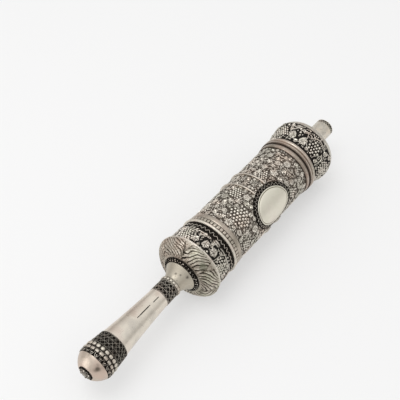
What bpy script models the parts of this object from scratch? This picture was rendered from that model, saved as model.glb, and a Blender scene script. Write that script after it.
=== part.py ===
"""Silver megillah case: a scroll tube with a lift-off lid, a bulging base and a hollow handle.

Metres, +Z up. The case lies on its side along X, from the handle's tip to the lid's finial.
Sizes below are in millimetres. A station is a distance along the axis from the handle's tip.
Angles round the axis start at the top and turn towards -Y, the side that faces the viewer.
"""

import math

import bmesh
import bpy
from mathutils import Matrix, Vector

MM = 0.001

# Driving sizes
TOTAL_LENGTH = 315.0
AXIS_HEIGHT = 28.0
WALL = 0.9
THIN_WALL = 0.7
GAP = 0.3
WIRE = 0.65
SEGMENTS = 28
SLIM_SEGMENTS = 26

# Handle, from the pommel's tip to the flared foot
ROSETTE_RADIUS = 6.1
ROSETTE_RISE = 1.1
DOME_ARC_CENTRE = (14.9, -1.4)
DOME_ARC_RADIUS = 15.75
DOME_START = 1.6
DOME_END = 9.5
DOME_INSIDE = (9.5, 6.0, 3.4)
DOME_INSIDE_FLAT = 4.0
POMMEL_SEAT_RADIUS = 12.7
ROPE_BAND = (9.8, 12.9)
ROPE_BAND_RADII = (13.9, 14.5)
BEAD_ROWS = ((14.3, 2.5, 14.6), (18.0, 3.2, 14.3))
POMMEL_BEADS = 21
BEAD_NIP = 0.45
BEAD_FLAT = 0.6
WIDE_BAND = (20.0, 31.0)
WIDE_BAND_RADII = (13.8, 12.6)
NARROW_BAND = (81.3, 92.5)
NARROW_BAND_RADII = (8.75, 8.5)
BAND_DEPTH = 0.5
HANDLE_START = 9.8
HANDLE_END = 95.9
HANDLE_BIG_RADIUS = 12.0
HANDLE_SMALL_RADIUS = 8.0
HANDLE_TAPER_POWER = 1.55
SEAM = (53.2, 67.4)
SEAM_ANGLE = 19.5
SEAM_WIDTH = 0.3
NECK_RING = (94.4, 3.0, 8.9)
NECK_BEADS = 18
FLARE = (96.2, 106.2)
FLARE_RADII = (8.0, 13.4)
FLARE_POWER = 1.6
FLARE_FOOT_END = 108.3

# Base, from the bulb's face to the rim
BULB_FACE = 108.6
BULB_CREST = 118.0
BULB_END = 119.2
BULB_ROOT_RADIUS = 17.4
BULB_CREST_RADIUS = 28.3
BULB_ROUNDNESS = 1.8
BULB_MOUTH_RADIUS = 12.7
BULB_LOBES = 7
BULB_LOBE_DEPTH = 1.2
COLUMNS_PER_LOBE = 6
ROPE_RING_RADII = (13.7, 16.4)
ROPE_RING_FRONT = (106.5, 107.9)
BASE_WIRE = (119.5, 121.5)
BASE_WIRE_RADIUS = 27.5
DRUM = (121.8, 135.7)
DRUM_RADIUS = 26.0
ZIGZAG_BAND = (136.0, 141.3)
ZIGZAG_RADIUS = 25.7
RIM_RING = (141.6, 144.0)
RIM_RADIUS = 26.4
COLLAR = (144.3, 147.9, 151.7)
COLLAR_RADII = (25.8, 25.3)

# Tube and what is fixed round it
TUBE = (122.5, 249.8)
TUBE_RADIUS = 24.5
TUBE_WIRES = (191.4, 205.8)
MOULDING = (244.8, 249.2)
MOULDING_RADIUS = 25.8
CARTOUCHE_STATION = 199.2
CARTOUCHE_ANGLE = 60.0
PLATE_HALF_SIZE = (18.6, 14.2)
FRAME_HALF_SIZE = (22.2, 17.8)
PLATE_RISE = 1.3
FRAME_RISE = 0.9
OVAL_POINTS = 32

# Lid, from its sleeve inside the tube to the finial's end
SLEEVE_START = 240.0
SLEEVE_RADIUS = 23.25
FLANGE = (250.1, 256.5)
FLANGE_RADIUS = 26.4
FLANGE_GROOVE_RADIUS = 25.5
LID_WAIST = (258.0, 25.0)
LID_CREST = (275.2, 28.3)
LID_END = 282.5
LID_WALL = 1.2
LID_FALL = 8.2
LID_RING = (283.6, 24.0, 0.85)
LID_DOME_START = (284.9, 23.0)
LID_DOME_END = (296.2, 9.0)
LID_DOME_SAGITTA = 0.9
FINIAL = (296.5, 315.0)
FINIAL_RADIUS = 8.35
FINIAL_BAND = (311.2, 314.8)


def clear_scene():
    for obj in list(bpy.data.objects):
        bpy.data.objects.remove(obj)


def metal(name, color, roughness, metallic):
    material = bpy.data.materials.new(name)
    material.use_nodes = True
    shader = material.node_tree.nodes["Principled BSDF"]
    shader.inputs["Base Color"].default_value = (*color, 1)
    shader.inputs["Roughness"].default_value = roughness
    shader.inputs["Metallic"].default_value = metallic
    return material


def empty(name, location, parent=None):
    obj = bpy.data.objects.new(name, None)
    bpy.context.scene.collection.objects.link(obj)
    obj.location = Vector(location) * MM
    obj.parent = parent
    return obj


def finish(bm, name, parent, material, station=0.0):
    """Turns a bmesh in millimetres, drawn at its stations, into an object at its own station."""
    bmesh.ops.remove_doubles(bm, verts=bm.verts, dist=1e-4)
    bmesh.ops.recalc_face_normals(bm, faces=bm.faces)
    bmesh.ops.translate(bm, verts=bm.verts, vec=(-station, 0, 0))
    bmesh.ops.scale(bm, verts=bm.verts, vec=(MM, MM, MM))
    mesh = bpy.data.meshes.new(name)
    bm.to_mesh(mesh)
    bm.free()
    mesh.shade_smooth()
    mesh.set_sharp_from_angle(angle=math.radians(30))
    mesh.materials.append(material)
    obj = bpy.data.objects.new(name, mesh)
    bpy.context.scene.collection.objects.link(obj)
    obj.parent = parent
    obj.location.x = station * MM
    return obj


def turned(name, parent, material, outline, segments=SEGMENTS, first=None, sweep=360.0, carve=None):
    """Spins an outline of (station, radius) points round the axis.

    An outline with both ends on the axis makes a solid, and any other closes on itself as a ring.
    """
    on_axis = outline[0][1] == 0 and outline[-1][1] == 0
    if first is None:
        first = 180.0 / segments
    bm = bmesh.new()
    verts = [bm.verts.new((station, 0, radius)) for station, radius in outline]
    edges = [bm.edges.new(pair) for pair in zip(verts, verts[1:])]
    if not on_axis:
        edges.append(bm.edges.new((verts[-1], verts[0])))
    turn = Matrix.Rotation(math.radians(first), 3, "X")
    bmesh.ops.rotate(bm, verts=verts, cent=(0, 0, 0), matrix=turn)
    bmesh.ops.spin(bm, geom=verts + edges, cent=(0, 0, 0), axis=(1, 0, 0),
                   angle=math.radians(sweep), steps=segments)
    bmesh.ops.remove_doubles(bm, verts=bm.verts, dist=1e-4)
    rim = [edge for edge in bm.edges if edge.is_boundary]
    if rim:
        bmesh.ops.holes_fill(bm, edges=rim, sides=0)
    if carve:
        carve(bm)
    station = min(point[0] for point in outline)
    return finish(bm, name, parent, material, station)


def circle(station, radius, size, points):
    """A small round section, for a wire or a roll."""
    turn = 2 * math.pi / points
    return [
        (station + size * math.cos(turn * (i + 0.5)), radius + size * math.sin(turn * (i + 0.5)))
        for i in range(points)
    ]


def band_section(stations, radii, depth=BAND_DEPTH):
    """The section of a strip wrapped round the axis, thickness depth."""
    return [
        (stations[0], radii[0]),
        (stations[1], radii[1]),
        (stations[1], radii[1] - depth),
        (stations[0], radii[0] - depth),
    ]


def beaded_ring(name, parent, material, station, width, radius, beads, inner_radius):
    """A ring of flattened beads that touch: sections alternate between a bead and a nip."""
    bm = bmesh.new()
    columns = []
    for i in range(2 * beads):
        swell = 1.0 if i % 2 == 0 else BEAD_NIP
        half = width / 2 * swell
        height = inner_radius + (radius - inner_radius) * swell
        section = (
            (station - half, inner_radius),
            (station - half * BEAD_FLAT, height),
            (station + half * BEAD_FLAT, height),
            (station + half, inner_radius),
        )
        turn = math.pi * i / beads
        columns.append([
            bm.verts.new((x, -r * math.sin(turn), r * math.cos(turn))) for x, r in section
        ])
    for near, far in zip(columns, columns[1:] + columns[:1]):
        join_loops(bm, near, far)
    return finish(bm, name, parent, material, station)


def on_tube(along, arc, radius):
    """A point at a distance along the axis and an arc length round it from the cartouche's middle."""
    turn = math.radians(CARTOUCHE_ANGLE) + arc / TUBE_RADIUS
    station = CARTOUCHE_STATION + along
    return (station, -radius * math.sin(turn), radius * math.cos(turn))


def oval_loop(bm, half_size, scale, radius):
    loop = []
    for i in range(OVAL_POINTS):
        turn = 2 * math.pi * i / OVAL_POINTS
        along = half_size[0] * scale * math.cos(turn)
        arc = half_size[1] * scale * math.sin(turn)
        loop.append(bm.verts.new(on_tube(along, arc, radius)))
    return loop


def join_loops(bm, near, far):
    for i in range(len(near)):
        k = (i + 1) % len(near)
        bm.faces.new((near[i], near[k], far[k], far[i]))


def close_loop(bm, loop, radius):
    middle = bm.verts.new(on_tube(0, 0, radius))
    for i in range(len(loop)):
        bm.faces.new((loop[i], loop[(i + 1) % len(loop)], middle))


def cutter(name, size, location, parent, angle=0.0):
    """A box that only cuts: it is never drawn."""
    bm = bmesh.new()
    bmesh.ops.create_cube(bm, size=MM)
    bmesh.ops.scale(bm, verts=bm.verts, vec=size)
    mesh = bpy.data.meshes.new(name)
    bm.to_mesh(mesh)
    bm.free()
    obj = bpy.data.objects.new(name, mesh)
    bpy.context.scene.collection.objects.link(obj)
    obj.parent = parent
    obj.location = Vector(location) * MM
    obj.rotation_euler.x = math.radians(angle)
    obj.hide_render = True
    obj.display_type = "WIRE"
    return obj


def cut(obj, tool):
    modifier = obj.modifiers.new(tool.name, "BOOLEAN")
    modifier.operation = "DIFFERENCE"
    modifier.object = tool


def handle_radius(station):
    """The visible handle narrows quickly at the pommel and slowly near the neck."""
    span = HANDLE_END - WIDE_BAND[1]
    share = (HANDLE_END - station) / span
    return HANDLE_SMALL_RADIUS + (HANDLE_BIG_RADIUS - HANDLE_SMALL_RADIUS) * share ** HANDLE_TAPER_POWER


def make_pommel(parent, looks):
    steps = 3
    face = []
    for i in range(steps + 1):
        radius = ROSETTE_RADIUS * i / steps
        face.append((ROSETTE_RISE * (radius / ROSETTE_RADIUS) ** 2, radius))
    back = DOME_START - GAP
    rosette = face + [(back, ROSETTE_RADIUS), (back, 0)]
    turned("pommel_rosette", parent, looks["filigree"], rosette, SLIM_SEGMENTS)

    def ogive(station, offset):
        reach = DOME_ARC_RADIUS - offset
        drop = DOME_ARC_CENTRE[0] - station
        return DOME_ARC_CENTRE[1] + math.sqrt(reach ** 2 - drop ** 2)

    steps = 5
    outside = []
    for i in range(steps + 1):
        station = DOME_START + (DOME_END - DOME_START) * (i / steps) ** 1.3
        outside.append((station, ogive(station, 0)))
    inside = []
    for station in DOME_INSIDE:
        inside.append((station, ogive(station, WALL)))
    inside_tip = DOME_START + WALL
    dome = [(DOME_START, 0)] + outside + inside
    dome += [(inside_tip, DOME_INSIDE_FLAT), (inside_tip, 0)]
    turned("pommel_dome", parent, looks["polished"], dome, SLIM_SEGMENTS)

    depth = ROPE_BAND_RADII[0] - POMMEL_SEAT_RADIUS - GAP
    turned("pommel_rope_band", parent, looks["filigree"],
           band_section(ROPE_BAND, ROPE_BAND_RADII, depth))
    inner = POMMEL_SEAT_RADIUS + GAP
    for number, (station, width, radius) in enumerate(BEAD_ROWS, 1):
        beaded_ring(f"pommel_bead_ring_{number}", parent, looks["beads"],
                    station, width, radius, POMMEL_BEADS, inner)
    turned("handle_wide_band", parent, looks["filigree"], band_section(WIDE_BAND, WIDE_BAND_RADII))


def make_handle(parent, looks):
    seats = GAP + BAND_DEPTH
    outside = [
        (HANDLE_START, POMMEL_SEAT_RADIUS),
        (WIDE_BAND[0] - GAP, POMMEL_SEAT_RADIUS),
        (WIDE_BAND[1] + GAP / 2, WIDE_BAND_RADII[1] - seats),
    ]
    start = WIDE_BAND[1] + GAP
    end = NARROW_BAND[0] - GAP
    steps = 5
    for i in range(steps + 1):
        station = start + (end - start) * i / steps
        outside.append((station, handle_radius(station)))
    outside += [
        (end + GAP / 2, NARROW_BAND_RADII[0] - seats),
        (HANDLE_END, NARROW_BAND_RADII[1] - seats),
    ]
    # The bore has fewer steps than the outside.
    bore = [outside[i] for i in (-1, -2, 5, 2, 0)]
    inside = [(station, radius - THIN_WALL) for station, radius in bore]
    tube = turned("handle_tube", parent, looks["polished"], outside + inside, SLIM_SEGMENTS)
    middle = sum(SEAM) / 2
    turn = math.radians(SEAM_ANGLE)
    radius = handle_radius(middle)
    slit = cutter("seam_cutter", (SEAM[1] - SEAM[0], SEAM_WIDTH, 4.0),
                  (middle, -radius * math.sin(turn), radius * math.cos(turn)), parent, SEAM_ANGLE)
    cut(tube, slit)
    turned("handle_narrow_band", parent, looks["filigree"],
           band_section(NARROW_BAND, NARROW_BAND_RADII), SLIM_SEGMENTS)
    station, width, radius = NECK_RING
    inner = NARROW_BAND_RADII[1] - seats + GAP
    beaded_ring("neck_bead_ring", parent, looks["beads"], station, width, radius, NECK_BEADS, inner)


def make_flare(parent, looks):
    steps = 5
    outside = []
    for i in range(steps + 1):
        share = i / steps
        radius = FLARE_RADII[0] + (FLARE_RADII[1] - FLARE_RADII[0]) * share ** FLARE_POWER
        outside.append((FLARE[0] + (FLARE[1] - FLARE[0]) * share, radius))
    outside.append((FLARE_FOOT_END, FLARE_RADII[1]))
    bore = [outside[i] for i in (-1, -2, 3, 0)]
    inside = [(station, radius - WALL) for station, radius in bore]
    turned("flare", parent, looks["polished"], outside + inside)
    low, high = ROPE_RING_RADII
    section = [
        (ROPE_RING_FRONT[0], low),
        (ROPE_RING_FRONT[1], high),
        (BULB_FACE - GAP, high),
        (BULB_FACE - GAP, low),
    ]
    turned("flare_rope_ring", parent, looks["filigree"], section)


def bulb_radius(station):
    """The bulb swells from its flat face to a crest beside the wire ring."""
    share = abs(BULB_CREST - station) / (BULB_CREST - BULB_FACE)
    swell = (1 - share ** BULB_ROUNDNESS) ** (1 / BULB_ROUNDNESS)
    return BULB_ROOT_RADIUS + (BULB_CREST_RADIUS - BULB_ROOT_RADIUS) * swell


def bulb_outline():
    outside = [(BULB_FACE, BULB_MOUTH_RADIUS), (BULB_FACE, BULB_ROOT_RADIUS)]
    steps = 6
    for i in range(1, steps + 1):
        station = BULB_CREST - (BULB_CREST - BULB_FACE) * math.cos(i / steps * math.pi / 2)
        outside.append((station, bulb_radius(station)))
    outside.append((BULB_END, bulb_radius(BULB_END)))
    inside = []
    for i in (7, 5, 4, 3):
        station, radius = outside[i]
        inward = min(station + WALL * (BULB_CREST - station) / (BULB_CREST - BULB_FACE), BULB_END)
        inside.append((inward, radius - WALL))
    inside.append((BULB_FACE + WALL, BULB_ROOT_RADIUS))
    inside.append((BULB_FACE + WALL, BULB_MOUTH_RADIUS))
    return outside + inside


def carve_lobes(bm):
    """Presses shallow valleys between the bulb's lobes. One lobe is centred on the underside."""
    for vert in bm.verts:
        share = (vert.co.x - BULB_FACE) / (BULB_END - BULB_FACE)
        radius = math.hypot(vert.co.y, vert.co.z)
        turn = math.atan2(-vert.co.y, vert.co.z)
        valley = 1 - abs(math.cos(BULB_LOBES * (turn - math.pi) / 2))
        depth = BULB_LOBE_DEPTH * math.sin(math.pi * share) * valley
        if radius > BULB_ROOT_RADIUS:
            vert.co.yz = vert.co.yz * (radius - depth) / radius


def make_base(parent, looks, bench):
    bulb = turned("base_bulb", parent, looks["relief"], bulb_outline(),
                  BULB_LOBES * COLUMNS_PER_LOBE, 0, carve=carve_lobes)
    cut(bulb, bench)
    rounding = 0.4
    wire = [
        (BASE_WIRE[0], BASE_WIRE_RADIUS - 2 * rounding),
        (BASE_WIRE[0] + rounding, BASE_WIRE_RADIUS),
        (BASE_WIRE[1] - rounding, BASE_WIRE_RADIUS),
        (BASE_WIRE[1], BASE_WIRE_RADIUS - 2 * rounding),
        (BASE_WIRE[1], BASE_WIRE_RADIUS - WALL - rounding),
        (BASE_WIRE[0], BASE_WIRE_RADIUS - WALL - rounding),
    ]
    turned("base_wire_ring", parent, looks["polished"], wire)
    # The drum, the bands and the collar are sleeves on the tube.
    inner = TUBE_RADIUS + GAP
    middle = sum(DRUM) / 2
    drum = [
        (DRUM[0], DRUM_RADIUS - 0.3),
        (middle, DRUM_RADIUS),
        (DRUM[1], DRUM_RADIUS - 0.3),
        (DRUM[1], inner),
        (DRUM[0], inner),
    ]
    turned("base_drum", parent, looks["relief"], drum)
    turned("base_zigzag_band", parent, looks["filigree"],
           band_section(ZIGZAG_BAND, (ZIGZAG_RADIUS, ZIGZAG_RADIUS), ZIGZAG_RADIUS - inner))
    rim = [
        (RIM_RING[0], inner),
        (RIM_RING[0] + 0.2, RIM_RADIUS - 0.5),
        (RIM_RING[0] + 0.9, RIM_RADIUS),
        (RIM_RING[1] - 0.9, RIM_RADIUS),
        (RIM_RING[1] - 0.2, RIM_RADIUS - 0.5),
        (RIM_RING[1], inner),
    ]
    turned("base_rim_ring", parent, looks["polished"], rim)
    collar = [
        (COLLAR[0], COLLAR_RADII[0]),
        (COLLAR[1], COLLAR_RADII[0]),
        (COLLAR[1], COLLAR_RADII[1]),
        (COLLAR[2], COLLAR_RADII[1]),
        (COLLAR[2], inner),
        (COLLAR[0], inner),
    ]
    turned("base_collar", parent, looks["beads"], collar)


def make_tube(parent, looks):
    tube = [
        (TUBE[0], 0),
        (TUBE[0], TUBE_RADIUS),
        (TUBE[1], TUBE_RADIUS),
        (TUBE[1], TUBE_RADIUS - WALL),
        (TUBE[0] + WALL, TUBE_RADIUS - WALL),
        (TUBE[0] + WALL, 0),
    ]
    turned("case_tube", parent, looks["relief"], tube)
    # Each wire ring stops where it meets the cartouche's frame.
    for name, station in zip(("tube_ring_lower", "tube_ring_upper"), TUBE_WIRES):
        offset = (station - CARTOUCHE_STATION) / FRAME_HALF_SIZE[0]
        half_arc = FRAME_HALF_SIZE[1] * math.sqrt(1 - offset ** 2) + 2 * GAP
        half_turn = math.degrees(half_arc / TUBE_RADIUS)
        turned(name, parent, looks["polished"],
               circle(station, TUBE_RADIUS + GAP + WIRE, WIRE, 4), SLIM_SEGMENTS,
               CARTOUCHE_ANGLE + half_turn, 360 - 2 * half_turn)
    inner = TUBE_RADIUS + GAP
    moulding = [
        (MOULDING[0], inner),
        (MOULDING[0] + 0.3, inner + 0.5),
        (MOULDING[0] + 2.2, MOULDING_RADIUS),
        (MOULDING[1] - 0.6, MOULDING_RADIUS),
        (MOULDING[1], MOULDING_RADIUS - 0.5),
        (MOULDING[1], inner),
    ]
    turned("mouth_moulding", parent, looks["polished"], moulding)


def make_cartouche(parent, looks):
    seat = TUBE_RADIUS + GAP
    bm = bmesh.new()
    inner_size = [side + GAP for side in PLATE_HALF_SIZE]
    outer_low = oval_loop(bm, FRAME_HALF_SIZE, 1, seat)
    outer_high = oval_loop(bm, FRAME_HALF_SIZE, 1, seat + FRAME_RISE)
    inner_high = oval_loop(bm, inner_size, 1, seat + FRAME_RISE)
    inner_low = oval_loop(bm, inner_size, 1, seat)
    loops = [outer_low, outer_high, inner_high, inner_low]
    for near, far in zip(loops, loops[1:] + loops[:1]):
        join_loops(bm, near, far)
    finish(bm, "cartouche_frame", parent, looks["filigree"], CARTOUCHE_STATION)

    bm = bmesh.new()
    heights = ((1, 0), (1, PLATE_RISE - 0.4), (0.96, PLATE_RISE - 0.1), (0.5, PLATE_RISE + 0.1))
    loops = [oval_loop(bm, PLATE_HALF_SIZE, scale, seat + rise) for scale, rise in heights]
    for near, far in zip(loops, loops[1:]):
        join_loops(bm, near, far)
    close_loop(bm, loops[-1], seat + PLATE_RISE + 0.15)
    # The underside follows the tube too.
    under = oval_loop(bm, PLATE_HALF_SIZE, 0.5, seat)
    join_loops(bm, loops[0], under)
    close_loop(bm, under, seat)
    finish(bm, "cartouche_plate", parent, looks["polished"], CARTOUCHE_STATION)


def flange_outline():
    """The sleeve that slides into the tube, and the flange's two ridges."""
    ridge = 1.3
    return [
        (SLEEVE_START, SLEEVE_RADIUS),
        (FLANGE[0], SLEEVE_RADIUS),
        (FLANGE[0], FLANGE_RADIUS - 0.4),
        (FLANGE[0] + 0.4, FLANGE_RADIUS),
        (FLANGE[0] + ridge, FLANGE_RADIUS),
        (FLANGE[0] + 2 * ridge, FLANGE_GROOVE_RADIUS),
        (FLANGE[1] - ridge, FLANGE_RADIUS),
        (FLANGE[1], FLANGE_RADIUS),
        (FLANGE[1], SLEEVE_RADIUS - WALL),
        (SLEEVE_START, SLEEVE_RADIUS - WALL),
    ]


def bulge_outline():
    waist, waist_radius = LID_WAIST
    crest, crest_radius = LID_CREST

    def bulge(station):
        if station <= crest:
            share = max(station - waist, 0) / (crest - waist)
            return waist_radius + (crest_radius - waist_radius) * math.sin(share * math.pi / 2) ** 2
        drop = (station - crest) / LID_FALL
        return waist_radius + (crest_radius - waist_radius) * math.sqrt(1 - drop ** 2)

    start = FLANGE[1] + GAP
    outside = [(start, waist_radius)]
    steps = 3
    for i in range(steps + 1):
        station = waist + (crest - waist) * i / steps
        outside.append((station, bulge(station)))
    for i in range(1, steps + 1):
        station = crest + (LID_END - crest) * math.sin(i / steps * math.pi / 2)
        outside.append((station, bulge(station)))
    inside = []
    for station in (LID_END, crest + 4, crest - 3, waist + 2, start):
        inside.append((station, bulge(station) - LID_WALL))
    return outside + inside


def make_lid(parent, looks, bench):
    turned("lid_flange", parent, looks["polished"], flange_outline())
    lid = turned("lid_bulge", parent, looks["relief"], bulge_outline())
    cut(lid, bench)
    station, radius, size = LID_RING
    turned("lid_rim_ring", parent, looks["polished"], circle(station, radius, size, 4))
    start = Vector(LID_DOME_START)
    end = Vector(LID_DOME_END)
    across = (end - start).orthogonal().normalized()
    if across.y < 0:
        across.negate()
    steps = 4
    outside = []
    for i in range(steps + 1):
        share = i / steps
        point = start.lerp(end, share) + across * 4 * LID_DOME_SAGITTA * share * (1 - share)
        outside.append((point.x, point.y))
    inside = [(station, radius - 1.6 * WALL) for station, radius in (outside[2], outside[0])]
    dome = [(LID_DOME_END[0], 0)] + outside[::-1] + inside[::-1]
    dome += [(LID_DOME_END[0] - WALL, LID_DOME_END[1] - 2 * WALL), (LID_DOME_END[0] - WALL, 0)]
    turned("lid_dome", parent, looks["polished"], dome)
    seat = FINIAL_RADIUS - BAND_DEPTH
    finial = [
        (FINIAL[1], 0),
        (FINIAL[1], seat),
        (FINIAL_BAND[0] - GAP, seat),
        (FINIAL_BAND[0] - GAP, FINIAL_RADIUS),
        (FINIAL[0], FINIAL_RADIUS),
        (FINIAL[0], FINIAL_RADIUS - 2 * WALL),
        (FINIAL[1] - WALL, seat - WALL),
        (FINIAL[1] - WALL, 0),
    ]
    turned("finial", parent, looks["polished"], finial, SLIM_SEGMENTS)
    band_radius = FINIAL_RADIUS + 0.15
    depth = band_radius - seat - GAP / 2
    turned("finial_band", parent, looks["filigree"],
           band_section(FINIAL_BAND, (band_radius, band_radius), depth), SLIM_SEGMENTS)


def main():
    clear_scene()
    looks = {
        "polished": metal("polished_silver", (0.82, 0.77, 0.71), 0.22, 1.0),
        "relief": metal("oxidised_silver", (0.40, 0.36, 0.33), 0.45, 0.9),
        "filigree": metal("dark_filigree", (0.09, 0.08, 0.075), 0.5, 0.8),
        "beads": metal("satin_silver", (0.70, 0.66, 0.61), 0.35, 1.0),
    }
    axis = empty("case_axis", (-TOTAL_LENGTH / 2, 0, AXIS_HEIGHT))
    handle = empty("handle_group", (0, 0, 0), axis)
    body = empty("body_group", (0, 0, 0), axis)
    lid = empty("lid_group", (0, 0, 0), axis)
    # The bench takes a shallow flat off the two widest bulges, so the case lies without rolling.
    depth = 10.0
    bench = cutter("bench_cutter", (TOTAL_LENGTH, 60.0, depth),
                   (TOTAL_LENGTH / 2, 0, -AXIS_HEIGHT - depth / 2), axis)
    make_pommel(handle, looks)
    make_handle(handle, looks)
    make_flare(handle, looks)
    make_base(body, looks, bench)
    make_tube(body, looks)
    make_cartouche(body, looks)
    make_lid(lid, looks, bench)


main()
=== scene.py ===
import math
import random

import bpy
from mathutils import Matrix, Vector, noise


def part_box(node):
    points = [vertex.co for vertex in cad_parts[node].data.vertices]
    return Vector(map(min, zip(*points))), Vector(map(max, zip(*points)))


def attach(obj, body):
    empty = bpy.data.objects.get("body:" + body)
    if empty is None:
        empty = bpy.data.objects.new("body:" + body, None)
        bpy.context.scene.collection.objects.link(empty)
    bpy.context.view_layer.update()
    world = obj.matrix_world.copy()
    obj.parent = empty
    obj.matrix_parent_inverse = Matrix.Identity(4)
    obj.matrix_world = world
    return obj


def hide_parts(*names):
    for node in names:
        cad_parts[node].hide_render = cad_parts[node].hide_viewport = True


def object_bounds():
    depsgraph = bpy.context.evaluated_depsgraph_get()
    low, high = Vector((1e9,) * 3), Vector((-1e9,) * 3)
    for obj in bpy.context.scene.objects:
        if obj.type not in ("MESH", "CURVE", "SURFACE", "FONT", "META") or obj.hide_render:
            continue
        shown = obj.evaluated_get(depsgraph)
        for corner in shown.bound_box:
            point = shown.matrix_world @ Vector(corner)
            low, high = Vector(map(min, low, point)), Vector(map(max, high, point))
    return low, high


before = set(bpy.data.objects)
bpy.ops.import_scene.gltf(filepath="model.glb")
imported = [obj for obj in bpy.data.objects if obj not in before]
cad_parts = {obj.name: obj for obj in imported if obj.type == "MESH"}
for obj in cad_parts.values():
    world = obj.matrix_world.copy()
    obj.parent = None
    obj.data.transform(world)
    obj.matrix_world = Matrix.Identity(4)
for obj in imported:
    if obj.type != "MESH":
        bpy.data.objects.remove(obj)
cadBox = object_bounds()

# Shapes are drawn in millimetres along the axis, with the handle's tip at 0 and the axis at height 0.
# settle() then carries each finished piece to its place in the frame.
scene = bpy.context.scene
mm = 0.001
tip = cadBox[0].x
axisHeight = sum(corner.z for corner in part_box("finial")) / 2
frontAngle = 28.7  # degrees from the top towards -Y, the middle of the side on show
weld = 1e-3  # points nearer than this are merged
wireWeld = 1e-4  # the same for wires, whose points lie closer
wireGap = 3e-4  # wires that meet lie this far apart in height, so that they aren't welded together
rng = random.Random(7)


def deselectAll():
    if bpy.context.mode != "OBJECT":
        bpy.ops.object.mode_set(mode="OBJECT")
    bpy.ops.object.select_all(action="DESELECT")


def pick(piece):
    deselectAll()
    piece.select_set(True)
    bpy.context.view_layer.objects.active = piece


def endEdit(near=0):
    # merges what lies nearer than this, turns the faces outwards and leaves edit mode
    bpy.ops.mesh.select_all(action="SELECT")
    if near:
        bpy.ops.mesh.remove_doubles(threshold=near)
    bpy.ops.mesh.normals_make_consistent(inside=False)
    bpy.ops.object.mode_set(mode="OBJECT")


def smoothStep(low, high, value):
    share = min(max((value - low) / (high - low), 0), 1)
    return share * share * (3 - 2 * share)


def evenly(first, last, steps):
    return [first + (last - first) * i / steps for i in range(steps + 1)]


def angles(count):
    return [2 * math.pi * i / count for i in range(count)]


def curveThrough(points, steps):
    # a smooth line through the points, with this many steps in each span
    ends = [points[0]] + list(points) + [points[-1]]
    line = []
    for before, near, far, after in zip(ends, ends[1:], ends[2:], ends[3:]):
        for i in range(steps):
            t = i / steps
            line.append(tuple(
                0.5 * (2 * b + (c - a) * t + (2 * a - 5 * b + 4 * c - d) * t * t
                       + (3 * b - a - 3 * c + d) * t ** 3)
                for a, b, c, d in zip(before, near, far, after)))
    return line + [tuple(points[-1])]


def strip(first, last, bottom, low, high=None):
    # section of a flat band, whose top may slope from low to high
    return [(first, bottom), (first, low), (last, low if high is None else high), (last, bottom)]


def roundedBand(first, last, bottom, top, corner):
    # section of a plain ring with softened outer edges
    bend = [(corner * (1 - math.cos(a)), top - corner * (1 - math.sin(a)))
            for a in [math.radians(turn) for turn in (0, 30, 60, 90)]]
    return ([(first, bottom)] + [(first + run, height) for run, height in bend]
            + [(last - run, height) for run, height in reversed(bend)] + [(last, bottom)])


def spun(name, outline, steps=160, first=0, sweep=360):
    # an outline of (station, radius) points, drawn vertex by vertex and spun round the axis
    onAxis = outline[0][1] == 0 and outline[-1][1] == 0
    path = list(outline) if onAxis else list(outline) + [outline[0]]
    deselectAll()
    bpy.ops.mesh.primitive_plane_add(size=1, location=(0, 0, 0))
    piece = bpy.context.object
    piece.name = name
    bpy.ops.object.mode_set(mode="EDIT")
    bpy.ops.mesh.merge(type="CENTER")
    bpy.ops.transform.translate(value=(path[0][0], 0, path[0][1]))
    for (x0, r0), (x1, r1) in zip(path, path[1:]):
        bpy.ops.mesh.extrude_region_move(TRANSFORM_OT_translate={"value": (x1 - x0, 0, r1 - r0)})
    bpy.ops.mesh.select_all(action="SELECT")
    bpy.ops.mesh.spin(steps=steps, angle=-math.radians(sweep), center=(0, 0, 0), axis=(1, 0, 0))
    bpy.ops.mesh.select_all(action="SELECT")
    bpy.ops.mesh.remove_doubles(threshold=weld)
    if sweep < 360:
        bpy.ops.mesh.select_all(action="DESELECT")
        bpy.ops.mesh.select_non_manifold()
        bpy.ops.mesh.fill_holes(sides=0)
    endEdit()
    if first:
        piece.data.transform(Matrix.Rotation(math.radians(first), 4, "X"))
    return piece


def setTone(piece, toneOf):
    # tone is the wear of the surface: 0 is a black recess and 1 is rubbed bright; on the mouth moulding it
    # also holds painted highlight lines
    tone = piece.data.attributes.get("tone") or piece.data.attributes.new("tone", "FLOAT", "POINT")
    tone.data.foreach_set("value", [toneOf(vert) for vert in piece.data.vertices])


def plainTone(piece, value):
    setTone(piece, lambda vert: value)


def toneAlong(piece, levels):
    # tone by station, straight between the given (station, tone) levels
    def toneOf(vert):
        for (x0, t0), (x1, t1) in zip(levels, levels[1:]):
            if vert.co.x <= x1:
                return t0 + (t1 - t0) * min(max((vert.co.x - x0) / (x1 - x0), 0), 1)
        return levels[-1][1]

    setTone(piece, toneOf)


# stain marks, and on the handle also painted shade along its upper side
def setStainAndShade(piece, stainAndShadeOf):
    stainAndShade = piece.data.attributes.new("stainAndShade", "FLOAT", "POINT")
    stainAndShade.data.foreach_set("value", [stainAndShadeOf(vert) for vert in piece.data.vertices])


def roundAt(station, radius, turn):
    # the point at a station and a radius, turned from the top towards -Y
    return Vector((station, -radius * math.sin(turn), radius * math.cos(turn)))


def spotted(vert, spots):
    # how deep in a stain a point lies; each spot is (station, degrees, radius, size, strength)
    depth = 0
    for station, degrees, radius, size, strength in spots:
        away = (vert.co - roundAt(station, radius, math.radians(degrees))).length
        away += size * 0.5 * noise.noise(vert.co * 1.2 / size)
        depth = max(depth, strength * (1 - smoothStep(size * 0.25, size, away)))
    return depth


def joined(name, parts):
    deselectAll()
    for part in parts:
        part.select_set(True)
    bpy.context.view_layer.objects.active = parts[0]
    bpy.ops.object.join()
    parts[0].name = name
    return parts[0]


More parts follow.
